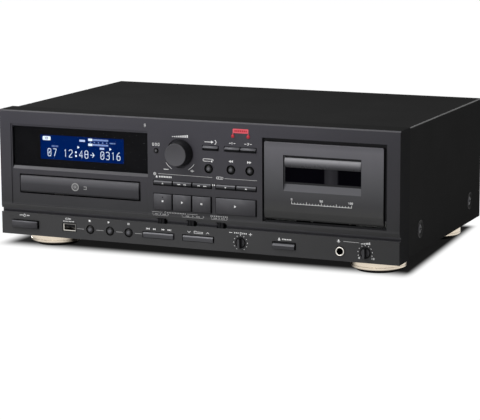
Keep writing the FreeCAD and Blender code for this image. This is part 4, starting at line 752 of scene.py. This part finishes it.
def rocker(label):
    """A two-way key, hollowed towards its middle, with its pin, web and two stems."""
    low, high, centre = panel_box(label)
    middle, height = centre.x, centre.z
    bottom, top = low.z + 3.5, high.z - 3.5
    # the rocker's face is painted lighter near its top as a highlight, its sides darker as shade
    sections = []
    for x, front in ((low.x, low.y + 0.5), (low.x + 0.5, low.y), (middle, low.y + 0.6),
                     (high.x - 0.5, low.y), (high.x, low.y + 0.5)):
        sections.append((x, [
            (3.0, bottom, "key_side"), (front + 0.6, bottom, "rocker_face"),
            (front + 0.2, bottom + 2.0, "rocker_face"), (front, top - 1.6, "rocker_lit"),
            (front + 0.7, top - 0.3, "key_side"), (3.0, top, "key_side"),
        ]))
    shape = Shape()
    shape.bar(sections)
    shape.soften(0.16)
    shape.prism(rectangle(middle - 2, middle + 2, bottom + 0.3, top - 0.3), 2.5, 6.4, "dark")
    for stem in (middle - 13, middle + 13):
        shape.prism(rectangle(stem - 1, stem + 1, height - 1, height + 1), 2.5, high.y, "dark")
    shape.lathe(run("dark", (0, low.z), (0.9, low.z), (0.9, high.z), (0, high.z)),
                (middle, 5.0, 0), "z", 24)
    shape.made(label + "_cap", label + "_body", "key_black", [label])


rocker("skip_rocker")
rocker("folder_rocker")

# Display

LCD_LEFT, LCD_RIGHT, LCD_LOW, LCD_HIGH = -172.95, -77.45, 79.9, 104.9
LCD_FACE = 6.0


def lcd(u, v):
    """A place on the display, from shares of its width and height."""
    return LCD_LEFT + (LCD_RIGHT - LCD_LEFT) * u, LCD_LOW + (LCD_HIGH - LCD_LOW) * v


def lcd_box(u0, u1, v0, v1):
    (left, low), (right, high) = lcd(u0, v0), lcd(u1, v1)
    return rectangle(left, right, low, high)


def display():
    """What the display shows: a track, a time, a counter, level bars and small signs."""
    marks = Marks(LCD_FACE - 0.04, 0.04, "segments")
    low, tall = lcd(0, 0.115)[1] + 0.45, 7.6
    for text, u in (("07", 0.083), ("12", 0.277), ("48", 0.466), ("0316", 0.72)):
        marks.digits(text, lcd(u, 0)[0] + 0.45, low, 3.5, tall, 0.6, 6.1, True)
    across = lcd(0.427, 0)[0]
    for rise in (0.22, 0.72):
        marks.fill(oval(across, low + tall * rise, 0.95, 1.0, 16, 5))
    # the arrow from the time to the counter
    middle = low + tall * 0.46
    start, tip = lcd(0.598, 0)[0], lcd(0.646, 0)[0]
    marks.rule(start, tip - 0.6, middle, 0.6)
    marks.line([(tip - 2.2, middle + 2.4), (tip, middle), (tip - 2.2, middle - 2.4)], 0.6)
    # the disc's tag
    disc, height = lcd(0.075, 0.861)
    marks.band(oval(disc, height, 1.6, 1.3), oval(disc, height, 4.6, 2.1, power=8))
    marks.band(oval(disc, height, 0.4, 0.36), oval(disc, height, 1.1, 0.9))
    marks.fill(lcd_box(0.472, 0.538, 0.8, 0.88), lcd_box(0.713, 0.766, 0.525, 0.6),
               paint="soft_segments")
    # level bars with their scale
    for v0, v1 in ((0.852, 0.95), (0.648, 0.746)):
        marks.fill(lcd_box(0.577, 0.626, v0, v1))
        marks.fill(lcd_box(0.63, 0.8147, v0 + 0.015, v1 - 0.015), paint="faint_segments")
        marks.fill(lcd_box(0.63, 0.8147, v1 - 0.03, v1 - 0.015))
    for u in (0.603, 0.651, 0.699, 0.75, 0.798, 0.84, 0.856, 0.872, 0.893):
        marks.fill(lcd_box(u - 0.006, u + 0.006, 0.775, 0.825), paint="faint_segments")
    for u in (0.459, 0.8404):
        marks.triangle(*lcd(u, 0.56), 2.6)
    (left, low), (right, high) = lcd(0.137, 0.515), lcd(0.212, 0.585)
    marks.ticks(left, right, low, high, 5, paint="faint_segments")
    marks.shape.made("lcd_segments", "case")
    # the window's black mask gives off a faint light of its own, a painted glow
    mask = Shape()
    mask.band(rectangle(LCD_LEFT, LCD_RIGHT, LCD_LOW, LCD_HIGH),
              rectangle(-203.2, -48.2, 71.8, 113.7), 5.44, 5.49, "mask")
    mask.made("window_mask", "case")


display()

# Panel marks

KNOB = (-12.5, 95.3)
LAMPS = (44.9, 61.2)
LAMP_HEIGHT = 115.7
DIALS = (52.4, 182.7)
DIAL_HEIGHT = 9.9
MIC = (157.0, 9.6)


def field_marks(marks):
    """Lines, scales and signs of the key field and the level knob."""
    for start, end in ((213, 240.5), (-33, -60.8)):
        marks.line(arc(*KNOB, 18.3, start, end, 12), 0.36)
    marks.rule(-30.6, -25.2, 78.5, 0.6)
    marks.plus(0.7, 78.4, 3.8, 2.4)
    marks.ticks(-21.0, -3.7, 111.4, 114.0, 8, 0.62, 1.9)
    marks.digits("000", -42.6, 101.7, 1.5, 2.5, 0.4, 3.0)
    # source arrow, record numbers and the repeat loop
    marks.rule(14.4, 21.6, 108.5, 0.6)
    marks.triangle(22.6, 108.5, 2.4)
    marks.line(arc(24.6, 108.5, 2.2, -70, 70), 0.55)
    marks.digits("1", 43.2, 107.5, 1.3, 2.0, 0.45)
    marks.digits("2", 60.3, 107.5, 1.4, 2.0, 0.45)
    for left, right in ((40.8, 42.7), (45.6, 47.4), (57.0, 59.3), (62.8, 64.9)):
        marks.rule(left, right, 108.5, 0.5)
    loop = oval(18.0, 90.4, 5.4, 1.15, 36, 6)
    marks.line(loop[-3:] + loop[:30], 0.5)
    marks.triangle(21.6, 89.3, 2.0, "left")
    marks.heads(42.6, 90.5, 2.2, "left")
    marks.heads(62.1, 90.5, 2.2, "right")
    # groups of keys: a disc, and a cassette with its two hubs
    marks.line([(-36.7, 73.6), (22.3, 73.3)], 0.42, "grey_ink")
    marks.rule(35.6, 70.3, 73.05, 0.42, "grey_ink")
    marks.disc(-40.5, 73.3, 1.25)
    marks.loop(oval(30.5, 73.2, 3.5, 1.1, 32, 6), 0.36)
    for across in (29.0, 32.0):
        marks.fill(oval(across, 73.2, 0.5, 0.5, 16))
    marks.eject(-38.4, 70.7, 1.9)
    marks.ticks(-35.8, -22.0, 69.9, 71.5, 8, 0.62)
    marks.ticks(22.3, 25.2, 64.9, 66.5, 2)
    # record sign and its brackets to the lamps
    marks.fill(oval(53.0, 121.0, 8.3, 2.15, 48, 14), paint="red_ink")
    marks.front -= 0.03
    marks.ticks(46.6, 59.6, 120.1, 121.8, 7, 0.62, paint="deep_red")
    marks.front += 0.03
    for side in (-1, 1):
        edge = 53.0 + side * 8.2
        marks.line([(edge - side * 0.3, 119.0), (edge, 117.4)], 0.6, "red_ink")
    # receiver sign
    for radius in (2.4, 1.3):
        marks.line(arc(-52.6, 121.4, radius, -48, 48), 0.42)


def switch_marks(marks):
    """Scales above the slide switches."""
    for left, right in ((-43.9, -32.5), (-5.3, 6.3)):
        marks.rule(left, right, 34.7, 0.34)
    marks.loop(oval(-29.2, 34.7, 0.8, 0.8), 0.3)
    marks.ticks(-27.2, -7.0, 34.1, 35.2, 12, 0.48)
    marks.ticks(20.3, 38.6, 34.0, 35.2, 10, 0.5)
    for middle, reach in ((-34.8, 8.4), (0.8, 11.6), (29.5, 8.4)):
        for step in (-1, 0, 1):
            marks.digits("123"[step + 1], middle + step * reach - 0.5, 32.15, 1.0, 1.2, 0.32)
        marks.rule(middle - reach, middle + reach, 31.35, 0.26)
        for between in (middle - reach / 2, middle + reach / 2):
            marks.ticks(between - 1.7, between + 1.7, 32.1, 33.1, 3)


def strip_marks(marks):
    """Signs and lines of the lower strip."""
    marks.line(arc(-190.6, 20.4, 1.3, 125, 415, 24), 0.4)
    marks.line([(-190.6, 20.6), (-190.6, 22.1)], 0.4)
    for left in (-196.2, -188.0):
        marks.ticks(left, left + 3.0, 19.9, 21.0, 2)
    # memory plug and its keys
    marks.loop(rectangle(-142.4, -138.6, 19.5, 20.9), 0.34)
    marks.fill(rectangle(-138.4, -136.2, 19.8, 20.6), rectangle(-115.9, -113.9, 18.9, 20.9))
    marks.ticks(-145.2, -132.9, 17.1, 18.1, 8)
    for left, right in ((-129.5, -121.5), (-107.5, -99.0), (-84.8, -77.5), (-63.5, -56.0)):
        marks.rule(left, right, 10.8, 0.42, "grey_ink")
    marks.triangle(-93.1, 19.9, 2.3)
    marks.ticks(-71.7, -69.7, 18.9, 20.9, 2)
    # rockers and the eject key
    marks.skip(-45.3, 16.7, 1.7, "left", 3.3)
    marks.skip(-28.7, 16.9, 1.7, "right", 3.3)
    for across, rise in ((-3.5, -0.75), (16.9, 0.75)):
        foot = 16.8 - rise
        marks.line([(across - 1.6, foot), (across, 16.8 + rise), (across + 1.6, foot)], 0.42)
    marks.loop([(2.2, 15.9), (2.2, 17.9), (4.6, 17.9), (5.2, 17.3), (11.4, 17.3), (11.4, 15.9)])
    marks.eject(93.6, 16.9, 2.4)
    marks.ticks(96.6, 106.2, 16.2, 17.5, 6, 0.62)
    # dials
    for across, dots, turn in ((DIALS[0], 11, 29.5), (DIALS[1], 9, 27.5)):
        for step in range(dots):
            angle = radians(turn * (step - (dots - 1) / 2))
            dot = across + 7.4 * sin(angle), DIAL_HEIGHT + 7.4 * cos(angle)
            marks.fill(oval(*dot, 0.42, 0.42, 12))
    marks.rule(40.2, 43.6, 19.6, 0.55)
    marks.ticks(45.8, 50.3, 18.9, 20.3, 3)
    marks.digits("0", 52.0, 18.4, 1.3, 2.0, 0.4)
    marks.ticks(54.6, 59.1, 18.7, 20.1, 3)
    marks.plus(63.1, 19.0, 3.4, 3.0)
    marks.digits("0", 176.0, 3.9, 1.1, 1.5, 0.36)
    marks.digits("10", 188.9, 4.0, 1.1, 1.5, 0.36)
    # microphone sign, line and level wedge
    marks.fill(oval(155.4, 20.0, 0.75, 1.2, 24, 3))
    marks.line(arc(155.4, 19.7, 1.45, 180, 360), 0.32)
    marks.line([(155.4, 18.3), (155.4, 17.7)], 0.32)
    marks.line([(160.4, 19.6), (176.6, 19.4)], 0.42, "grey_ink")
    marks.ticks(178.3, 187.6, 18.2, 20.4, 6, 0.62, 1.5)


marks = Marks()
field_marks(marks)
strip_marks(marks)
marks.paint = "grey_ink"
switch_marks(marks)
marks.shape.made("panel_marks", "case")

KEY_SIGNS = {
    "cd_open": lambda m, x, z: m.eject(x, z + 0.1, 1.5),
    "cd_skip_back": lambda m, x, z: m.skip(x - 0.2, z, 1.4, "left", 3.1),
    "cd_skip_forward": lambda m, x, z: m.skip(x + 0.2, z, 1.4, "right", 3.1),
    "dubbing": lambda m, x, z: m.fill(oval(x, z + 0.2, 0.85, 0.85, 20)),
    "tape_direction": lambda m, x, z: m.fill(rectangle(x - 0.85, x + 0.85, z - 0.7, z + 1.0)),
    "cd_stop": lambda m, x, z: m.fill(rectangle(x - 0.9, x + 0.9, z - 0.1, z + 1.7)),
    "cd_play": lambda m, x, z: m.triangle(x + 0.2, z + 0.7, 2.2),
    "cd_pause": lambda m, x, z: m.ticks(x - 0.95, x + 0.95, z - 0.2, z + 1.6, 2, 0.7),
    "tape_play": lambda m, x, z: m.triangle(x - 0.4, z + 0.6, 2.3),
}
for label, draw in KEY_SIGNS.items():
    low, high, middle = panel_box(label + "_button")
    marks = Marks(low.y + (0.12 if label in SLIM_KEYS else 0))
    draw(marks, middle.x, middle.z)
    if label == "cd_stop":
        marks.fill(oval(middle.x, middle.z + 4.8, 0.7, 0.7, 16), paint="dark_ink")
    marks.shape.made(label + "_sign", label + "_button_body")

scale = Marks(-1.5)
scale.rule(107.1, 169.3, 53.0)
for step in range(21):
    across = 107.3 + 3.09 * step
    scale.line([(across, 53.0), (across, 54.4 if step % 5 else 55.4)], 0.42)
for text, across in (("0", 106.7), ("50", 136.6), ("100", 165.6)):
    scale.digits(text, across, 56.6, 1.1, 1.6, 0.36, 1.8)
scale.shape.made("door_scale", "door")

sign = Marks(-0.7, paint="dull_ink")
sign.disc(-130.4, 53.9, 3.6)
sign.loop(oval(-130.4, 53.9, 1.9, 1.9))
sign.line([(-120.6, 52.2), (-117.6, 52.2), (-117.6, 54.8), (-120.6, 54.8)], 0.7)
sign.shape.made("disc_sign", "disc_tray")


# Knobs, lamps and the microphone rim

# the knob's face is painted lighter low down and darker high up, as light and shade
turned(
    "rec_level_knob_turned", "level_knob",
    run("dark", (0, 9.0), (3.0, 9.0), (3.0, 1.6))
    + run("knob_side", (12.9, 1.6), (13.2, 1.3), (11.5, -10.4), (11.42, -10.9), (11.3, -11.25))
    + run("knob_face", (11.05, -11.44), (10.75, -11.5), (10.3, -11.5), (9.9, -11.44), (0, -11.3)),
    (KNOB[0], 0, KNOB[1]), "y", 128, "knob_black", ["rec_level_knob"],
)


def small_dial(across, body, node):
    """A dial with a raised grip across its disc."""

    def grip(inset):
        """The grip's outline, narrower towards its top."""
        foot, head, reach = 1.5 - inset, 1.275 - inset, 4.75 - inset
        low, high = DIAL_HEIGHT - reach, DIAL_HEIGHT + reach
        return [(across - foot, low), (across + foot, low), (across + head, high),
                (across - head, high)]

    shape = Shape()
    # the grip's sides and the dial's rim are painted dark as shade, its faces lighter
    shape.prism(grip(0), -5.95, -0.2, "dial_side")
    shape.soften(0.3)
    shape.prism(grip(0.3), -6.0, -5.9, "dial_face")
    shape.lathe(
        run("dark", (0, 9.0), (2.0, 9.0), (2.0, 2.5))
        + run("dial_side", (5.0, 2.5), (5.25, 2.3), (5.25, -0.1), (5.1, -0.4), (4.3, -0.5),
              (4.2, -0.4))
        + run("dial_face", (0, -0.4)),
        (across, 0, DIAL_HEIGHT), "y", 64,
    )
    shape.made(body + "_turned", body, "knob_black", [node])


small_dial(DIALS[0], "pitch_dial", "pitch_knob")
small_dial(DIALS[1], "mic_dial", "mic_level_knob")

angles = [pi - pi * step / 8 for step in range(9)]
turned(
    "mic_jack_rim", "case",
    run("bright", (3.3, -0.7), *((3.88 + 0.56 * cos(a), -0.78 - 0.42 * sin(a)) for a in angles),
        (4.46, -0.7), (3.3, -0.7)),
    (MIC[0], 0, MIC[1]), "y", 72, "bright_nickel",
)

LENS_RADIUS, LENS_RISE, LENS_FOOT = 1.75, 0.9, -0.25
angles = [pi / 16 * step for step in range(8)]
for number, across in enumerate(LAMPS, 1):
    turned(
        "record_lamp_%d" % number, "case",
        run("lens", (0, LENS_FOOT),
            *((LENS_RADIUS * cos(a), LENS_FOOT - LENS_RISE * sin(a)) for a in angles),
            (0, LENS_FOOT - LENS_RISE)),
        (across, 0, LAMP_HEIGHT), "y", 40, "key_black",
    )


# Feet, screws and rear details

FEET = (-179.0, 179.0), (49.0, 227.8)
SIDE_SCREWS = 68.7, 235.0
SIDE_SCREW_HEIGHT = 23.5
REAR_SCREWS = -170.0, 0.0, 170.0
LEFT_JACKS = -70.0
JACKS = (LEFT_JACKS, -54.0), (18.0, 32.0)


def numbered(across, along):
    """Numbered places in rows, for what repeats."""
    return enumerate(((x, y) for x in across for y in along), 1)


for number, (across, depth) in numbered(*FEET):
    turned(
        "foot_%d" % number, "case",
        run("foot", (0, 0.0), (27.4, 0.0), (27.8, -0.4), (27.8, -8.6), (27.6, -8.8), (27.6, -9.2),
            (27.8, -9.4), (27.8, -11.0), (27.0, -11.8), (22.2, -11.9))
        + run("rubber", (21.9, -11.9), (21.9, -15.1), (21.5, -15.5), (0, -15.5)),
        (across, depth, 0), "z", 96, "foot_plating", ["feet"] if number == 1 else (),
    )


def carve(thing, cutter):
    """Cut the second shape out of the object."""
    bmesh.ops.recalc_face_normals(cutter.mesh, faces=cutter.mesh.faces)
    data = bpy.data.meshes.new("cutter")
    cutter.mesh.to_mesh(data)
    cutter.mesh.free()
    tool = placed("cutter", data)
    step = thing.modifiers.new("cut", "BOOLEAN")
    step.operation = "DIFFERENCE"
    step.solver = "EXACT"
    step.use_self = True
    step.object = tool
    graph = bpy.context.evaluated_depsgraph_get()
    carved = bpy.data.meshes.new_from_object(thing.evaluated_get(graph))
    thing.modifiers.clear()
    thing.data = carved
    bpy.data.objects.remove(tool)


def cross_screw(name, place, axis, sign, head, rise, replaced=()):
    """A domed screw head with a cross recess, facing out along its axis."""
    start = place["xy".index(axis)]
    dome = [pi / 12 * step for step in range(1, 6)]
    thing = turned(
        name, "case",
        run("screw", (0, start - sign * 0.6), (head * 0.55, start - sign * 0.6),
            (head * 0.96, start), (head, start + sign * rise * 0.25),
            *((head * cos(a), start + sign * rise * (0.25 + 0.75 * sin(a))) for a in dome),
            (0, start + sign * rise)),
        place, axis, 48, "screw_black", replaced,
    )
    cutter = Shape()
    reach, arm = head * 0.55, head * 0.13
    for wide, tall in ((reach, arm), (arm, reach)):
        rows = []
        for along in (start + sign * rise * 0.25, start + sign * (rise + 1)):
            rows.append([
                cutter.point(along, place[1] + a, place[2] + b) if axis == "x"
                else cutter.point(place[0] + a, along, place[2] + b)
                for a, b in rectangle(-wide, wide, -tall, tall)
            ])
        cutter.closed(rows, "screw", ["screw"] * 4)
    carve(thing, cutter)


for number, (depth, sign) in numbered(SIDE_SCREWS, (-1, 1)):
    cross_screw("side_screw_%d" % number, (sign * 214.2, depth, SIDE_SCREW_HEIGHT), "x", sign,
                4.6, 1.5, ["case_screws"] if number == 1 else ())
for number, across in enumerate(REAR_SCREWS, 1):
    cross_screw("rear_screw_%d" % number, (across, 272.0, 122.8), "y", 1, 3.2, 1.4)

for number, (across, height) in numbered(*JACKS):
    turned(
        "line_jack_insert_%d" % number, "case",
        run("white" if across == LEFT_JACKS else "signal_red", (1.6, 280.6), (1.6, 281.0),
            (3.1, 281.0), (3.1, 280.6), (1.6, 280.6)),
        (across, 0, height), "y", 40,
    )


# The carried-over nodes' finishes


def finish(node, paint, **choices):
    """Materials for a CAD node: the main one, and others where a test on a face holds."""
    data = nodes[node].data
    data.materials.clear()
    for name in (paint, *choices):
        data.materials.append(PAINTS[name])
    for one in data.polygons:
        one.material_index = 0
        middle = one.center / MM - PANEL_SHIFT
        for number, test in enumerate(choices.values(), 1):
            if test(middle, one.normal):
                one.material_index = number


UPPER_EDGE = 127.0        # only the tops of the panel and the cover lie above it


def in_groove(p):
    return 22.9 < p.z < 31.1 and p.y < 5


# painted light and shade on the panel: painted highlights on the upward bevel under the display,
# on the top edge and on the groove's lower lip; painted shade on the walls of openings and
# recesses, on all that lies deeper than 2.9 mm, and on the top and the sides
finish(
    "front_panel", "panel",
    panel_lit=lambda p, n: n.z > 0.3 and p.z < 72.5 and -204 < p.x < -48 and p.y < 2.6,
    panel_edge=lambda p, n: 0.3 < n.z < 0.95 and p.z > UPPER_EDGE and p.y < 2,
    key_side=lambda p, n: (abs(n.y) < 0.2 and p.y > 0.05 and abs(p.x) < 216 and 0.8 < p.z < 128
                           and not in_groove(p)),
    groove=lambda p, n: in_groove(p) and p.z < 27.1 and p.y > 1.3,
    panel_lip=lambda p, n: in_groove(p) and n.z > 0.5,
    black=lambda p, n: p.y > 2.9 and not in_groove(p),
    panel_top=lambda p, n: n.z > 0.9 and p.z > UPPER_EDGE,
    panel_side=lambda p, n: abs(n.x) > 0.5 and abs(p.x) > 216.8,
    moat=lambda p, n: 75.7 < p.x < 204.1 and 33 < p.z < 116.1 and p.y > 0.05,
)
# painted light on the cover: lighter sides, a highlight along the top edges, and glints in the
# dimples
finish(
    "top_cover", "cover",
    cover_edge=lambda p, n: abs(n.x) > 0.12 and n.z > 0.12 and p.z > UPPER_EDGE,
    cover_side=lambda p, n: abs(n.x) > 0.9,
    dimple=lambda p, n: 212 < abs(p.x) < 215.6 and any(
        hypot(p.y - y, p.z - SIDE_SCREW_HEIGHT) < 9.4 for y in SIDE_SCREWS),
)
finish("base_chassis", "steel", back=lambda p, n: p.z < 0.05)
finish("rear_panel", "back")
finish("display_window", "window")
finish("display_module", "black", lcd=lambda p, n: abs(p.y - LCD_FACE) < 0.05,
       board=lambda p, n: p.y > 11.4)
finish("control_board", "board", dark=lambda p, n: p.y < 14.0,
       lens=lambda p, n: 113.4 < p.z < 118 and p.y < 13.9)
finish("main_board", "board", steel=lambda p, n: p.z > 9.7 and 69 < p.x < 111 and p.y > 199,
       dark=lambda p, n: p.z > 9.7 and not (69 < p.x < 111 and p.y > 199))
finish("power_transformer", "core", copper=lambda p, n: p.y < 194.8 or p.y > 215.2)
finish("mains_inlet", "dark", brass=lambda p, n: (
    171 < p.x < 185 and 26 < p.z < 30 and p.y > 260.4
    and hypot(abs(p.x - 178) - 4.3, p.z - 28) < 1.3))
finish("line_jacks", "dark", bright=lambda p, n: p.y > 271.01)
# the socket's shell is painted shaded, with painted highlights on its lower lip and left edge
finish("usb_socket", "shaded", bright=lambda p, n: p.z < 8.5 or p.x < -144.3,
       dark=lambda p, n: -144 < p.x < -132.6 and 11.6 < p.z < 13.7 and p.y > 1.1)
# the bore is painted black as shade
finish("mic_jack", "knob_side", dark=lambda p, n: p.y > 3.05,
       black=lambda p, n: hypot(p.x - MIC[0], p.z - MIC[1]) < 3.3 and p.y > 0)
for paint, plain in {
    "dark": ("cd_loader_frame", "cd_tray", "cd_turntable", "pickup_sled", "input_slide_switch",
             "tape_slide_switch", "speed_slide_switch"),
    "tray_front": ("cd_tray_fascia",), "black": ("cassette_holder",),
    "white": ("loader_pinion", "supply_spindle", "takeup_spindle"),
    "steel": ("capstan_flywheel",),
}.items():
    for node in plain:
        finish(node, paint)
# their lower parts are painted black as shade
finish("tape_chassis", "steel", black=lambda p, n: p.y < 16 and p.z < 44)
finish("head_block", "steel", black=lambda p, n: p.z < 44)
finish("tape_motor", "steel", rubber=lambda p, n: 26.9 < p.y < 29.6)
finish("pinch_roller_arm", "steel", rubber=lambda p, n: p.x < 176.5)
# the window's brow is painted with light and shade
finish("door_window", "door_glass", brow=lambda p, n: p.y < 0.55 and p.z > 88.2)


def in_window(p):
    return 98 < p.x < 179.2 and 65 < p.z < 100.8


# on the door, painted shade darkens the side walls and the window's recess, and the upward bevel
# below the window is painted lit
finish(
    "cassette_door", "door",
    key_side=lambda p, n: abs(n.y) < 0.2 and p.y > -1.4,
    moat=lambda p, n: in_window(p) and p.y > 0.8 and (p.z > 97.9 or p.z < 74.2),
    door_lit=lambda p, n: in_window(p) and n.z > 0.2 and n.y < -0.2,
)


# Stage

# the painted shadow's soft edges on the floor: a direction across and back, and the places along
# it, in the panel's millimetres, where the painted shadow is full and where it ends
SHADOW_EDGES = ((1, 0.0525, 212.2, 224.2), (0.021, -1, -43.4, -7.4), (-1, 0, 216, 240),
                (0, 1, 284, 304))
SHADOW_LIGHT = 0.009
FLOOR_REACH = 14.0
SKY_LIGHT = 0.32


def seen_directly(tree):
    """1 for rays that see or mirror a surface, 0 for light that falls on the object."""
    kinds = tree.nodes.new("ShaderNodeLightPath").outputs
    rays = kinds["Is Camera Ray"]
    for other in ("Is Glossy Ray", "Is Transmission Ray"):
        both = tree.nodes.new("ShaderNodeMath")
        both.operation = "MAXIMUM"
        tree.links.new(rays, both.inputs[0])
        tree.links.new(kinds[other], both.inputs[1])
        rays = both.outputs[0]
    return rays


def floor():
    """A plain pale floor that shows as white, with a shadow under the case painted by place."""
    data = bpy.data.meshes.new("floor")
    square = rectangle(-FLOOR_REACH, FLOOR_REACH, -FLOOR_REACH, FLOOR_REACH)
    data.from_pydata([(x, y, 0) for x, y in square], [], [(0, 1, 2, 3)])
    paint = Paint(0.9, 0.0)
    rays = seen_directly(paint.tree)
    fibre = paint.mixed(paint.spread(paint.noise(3.0), 0.0, 1.0), (0.80, 0.80, 0.80, 1),
                        (0.82, 0.82, 0.82, 1))
    paint.coloured(paint.mixed(rays, fibre, (0.02, 0.02, 0.02, 1)))
    # painted shadow: a soft edge for each side of the case, multiplied, dims the floor's white
    # glow
    shade = None
    for across, back, full, clear in SHADOW_EDGES:
        along = paint.node("VectorMath", {0: paint.place}, operation="DOT_PRODUCT")
        along.inputs[1].default_value = (across, back, 0)
        shift = back * PANEL_Y
        edge = paint.spread(along.outputs["Value"], 1.0, 0.0, (full + shift) * MM,
                            (clear + shift) * MM)
        edge.node.interpolation_type = "SMOOTHSTEP"
        shade = paint.product(shade, edge) if shade else edge
    glow = paint.product(rays, paint.spread(shade, 1.0, SHADOW_LIGHT, 0.0, 1.0))
    paint.shader.inputs["Emission Color"].default_value = WHITE
    paint.tree.links.new(glow, paint.shader.inputs["Emission Strength"])
    data.materials.append(paint.done())
    placed("floor", data)


def world():
    """An even sky: soft on the object, white where it is seen or mirrored."""
    made = bpy.data.worlds.new("studio")
    bpy.context.scene.world = made
    made.use_nodes = True
    tree = made.node_tree
    tree.nodes.clear()
    mix = tree.nodes.new("ShaderNodeMixShader")
    tree.links.new(seen_directly(tree), mix.inputs[0])
    for socket, strength in ((1, SKY_LIGHT), (2, 1.0)):
        sky = tree.nodes.new("ShaderNodeBackground")
        sky.inputs["Color"].default_value = WHITE
        sky.inputs["Strength"].default_value = strength
        tree.links.new(sky.outputs[0], mix.inputs[socket])
    tree.links.new(mix.outputs[0], tree.nodes.new("ShaderNodeOutputWorld").inputs[0])


def lamp(name, place, target, wide, tall, power):
    """A soft rectangular lamp aimed at a point."""
    area = bpy.data.lights.new(name, "AREA")
    area.shape = "RECTANGLE"
    area.size = wide
    area.size_y = tall
    area.energy = power
    thing = placed(name, area)
    thing.location = place
    aim = Vector(target) - Vector(place)
    thing.rotation_euler = aim.to_track_quat("-Z", "Y").to_euler()


def camera():
    """The photograph's point of view."""
    place = Vector((0.80242, -1.86442, 0.41004))
    yaw, pitch, roll = -0.40932, 0.18444, -0.00477
    forward = Vector((sin(yaw) * cos(pitch), cos(yaw) * cos(pitch), -sin(pitch)))
    right = Vector((cos(yaw), -sin(yaw), 0.0))
    up = right.cross(forward)
    across = right * cos(roll) + up * sin(roll)
    rise = up * cos(roll) - right * sin(roll)
    data = bpy.data.cameras.new("camera")
    data.sensor_fit = "HORIZONTAL"
    data.sensor_width = 36.0
    data.lens = 146.444
    thing = placed("camera", data)
    turn = Matrix((across, rise, -forward)).transposed().to_4x4()
    thing.matrix_world = Matrix.Translation(place) @ turn
    bpy.context.scene.camera = thing


floor()
world()
lamp("key", (-0.45, -0.5, 0.85), (0, -0.05, 0.1), 0.9, 0.7, 8.0)
lamp("fill", (0.1, -2.4, 0.7), (0, -0.1, 0.08), 1.6, 1.0, 14.0)
lamp("rear", (-1.3, 1.6, 0.32), (0, 0.05, 0.07), 1.6, 0.5, 26.0)
camera()
bpy.context.scene.view_settings.view_transform = "Standard"
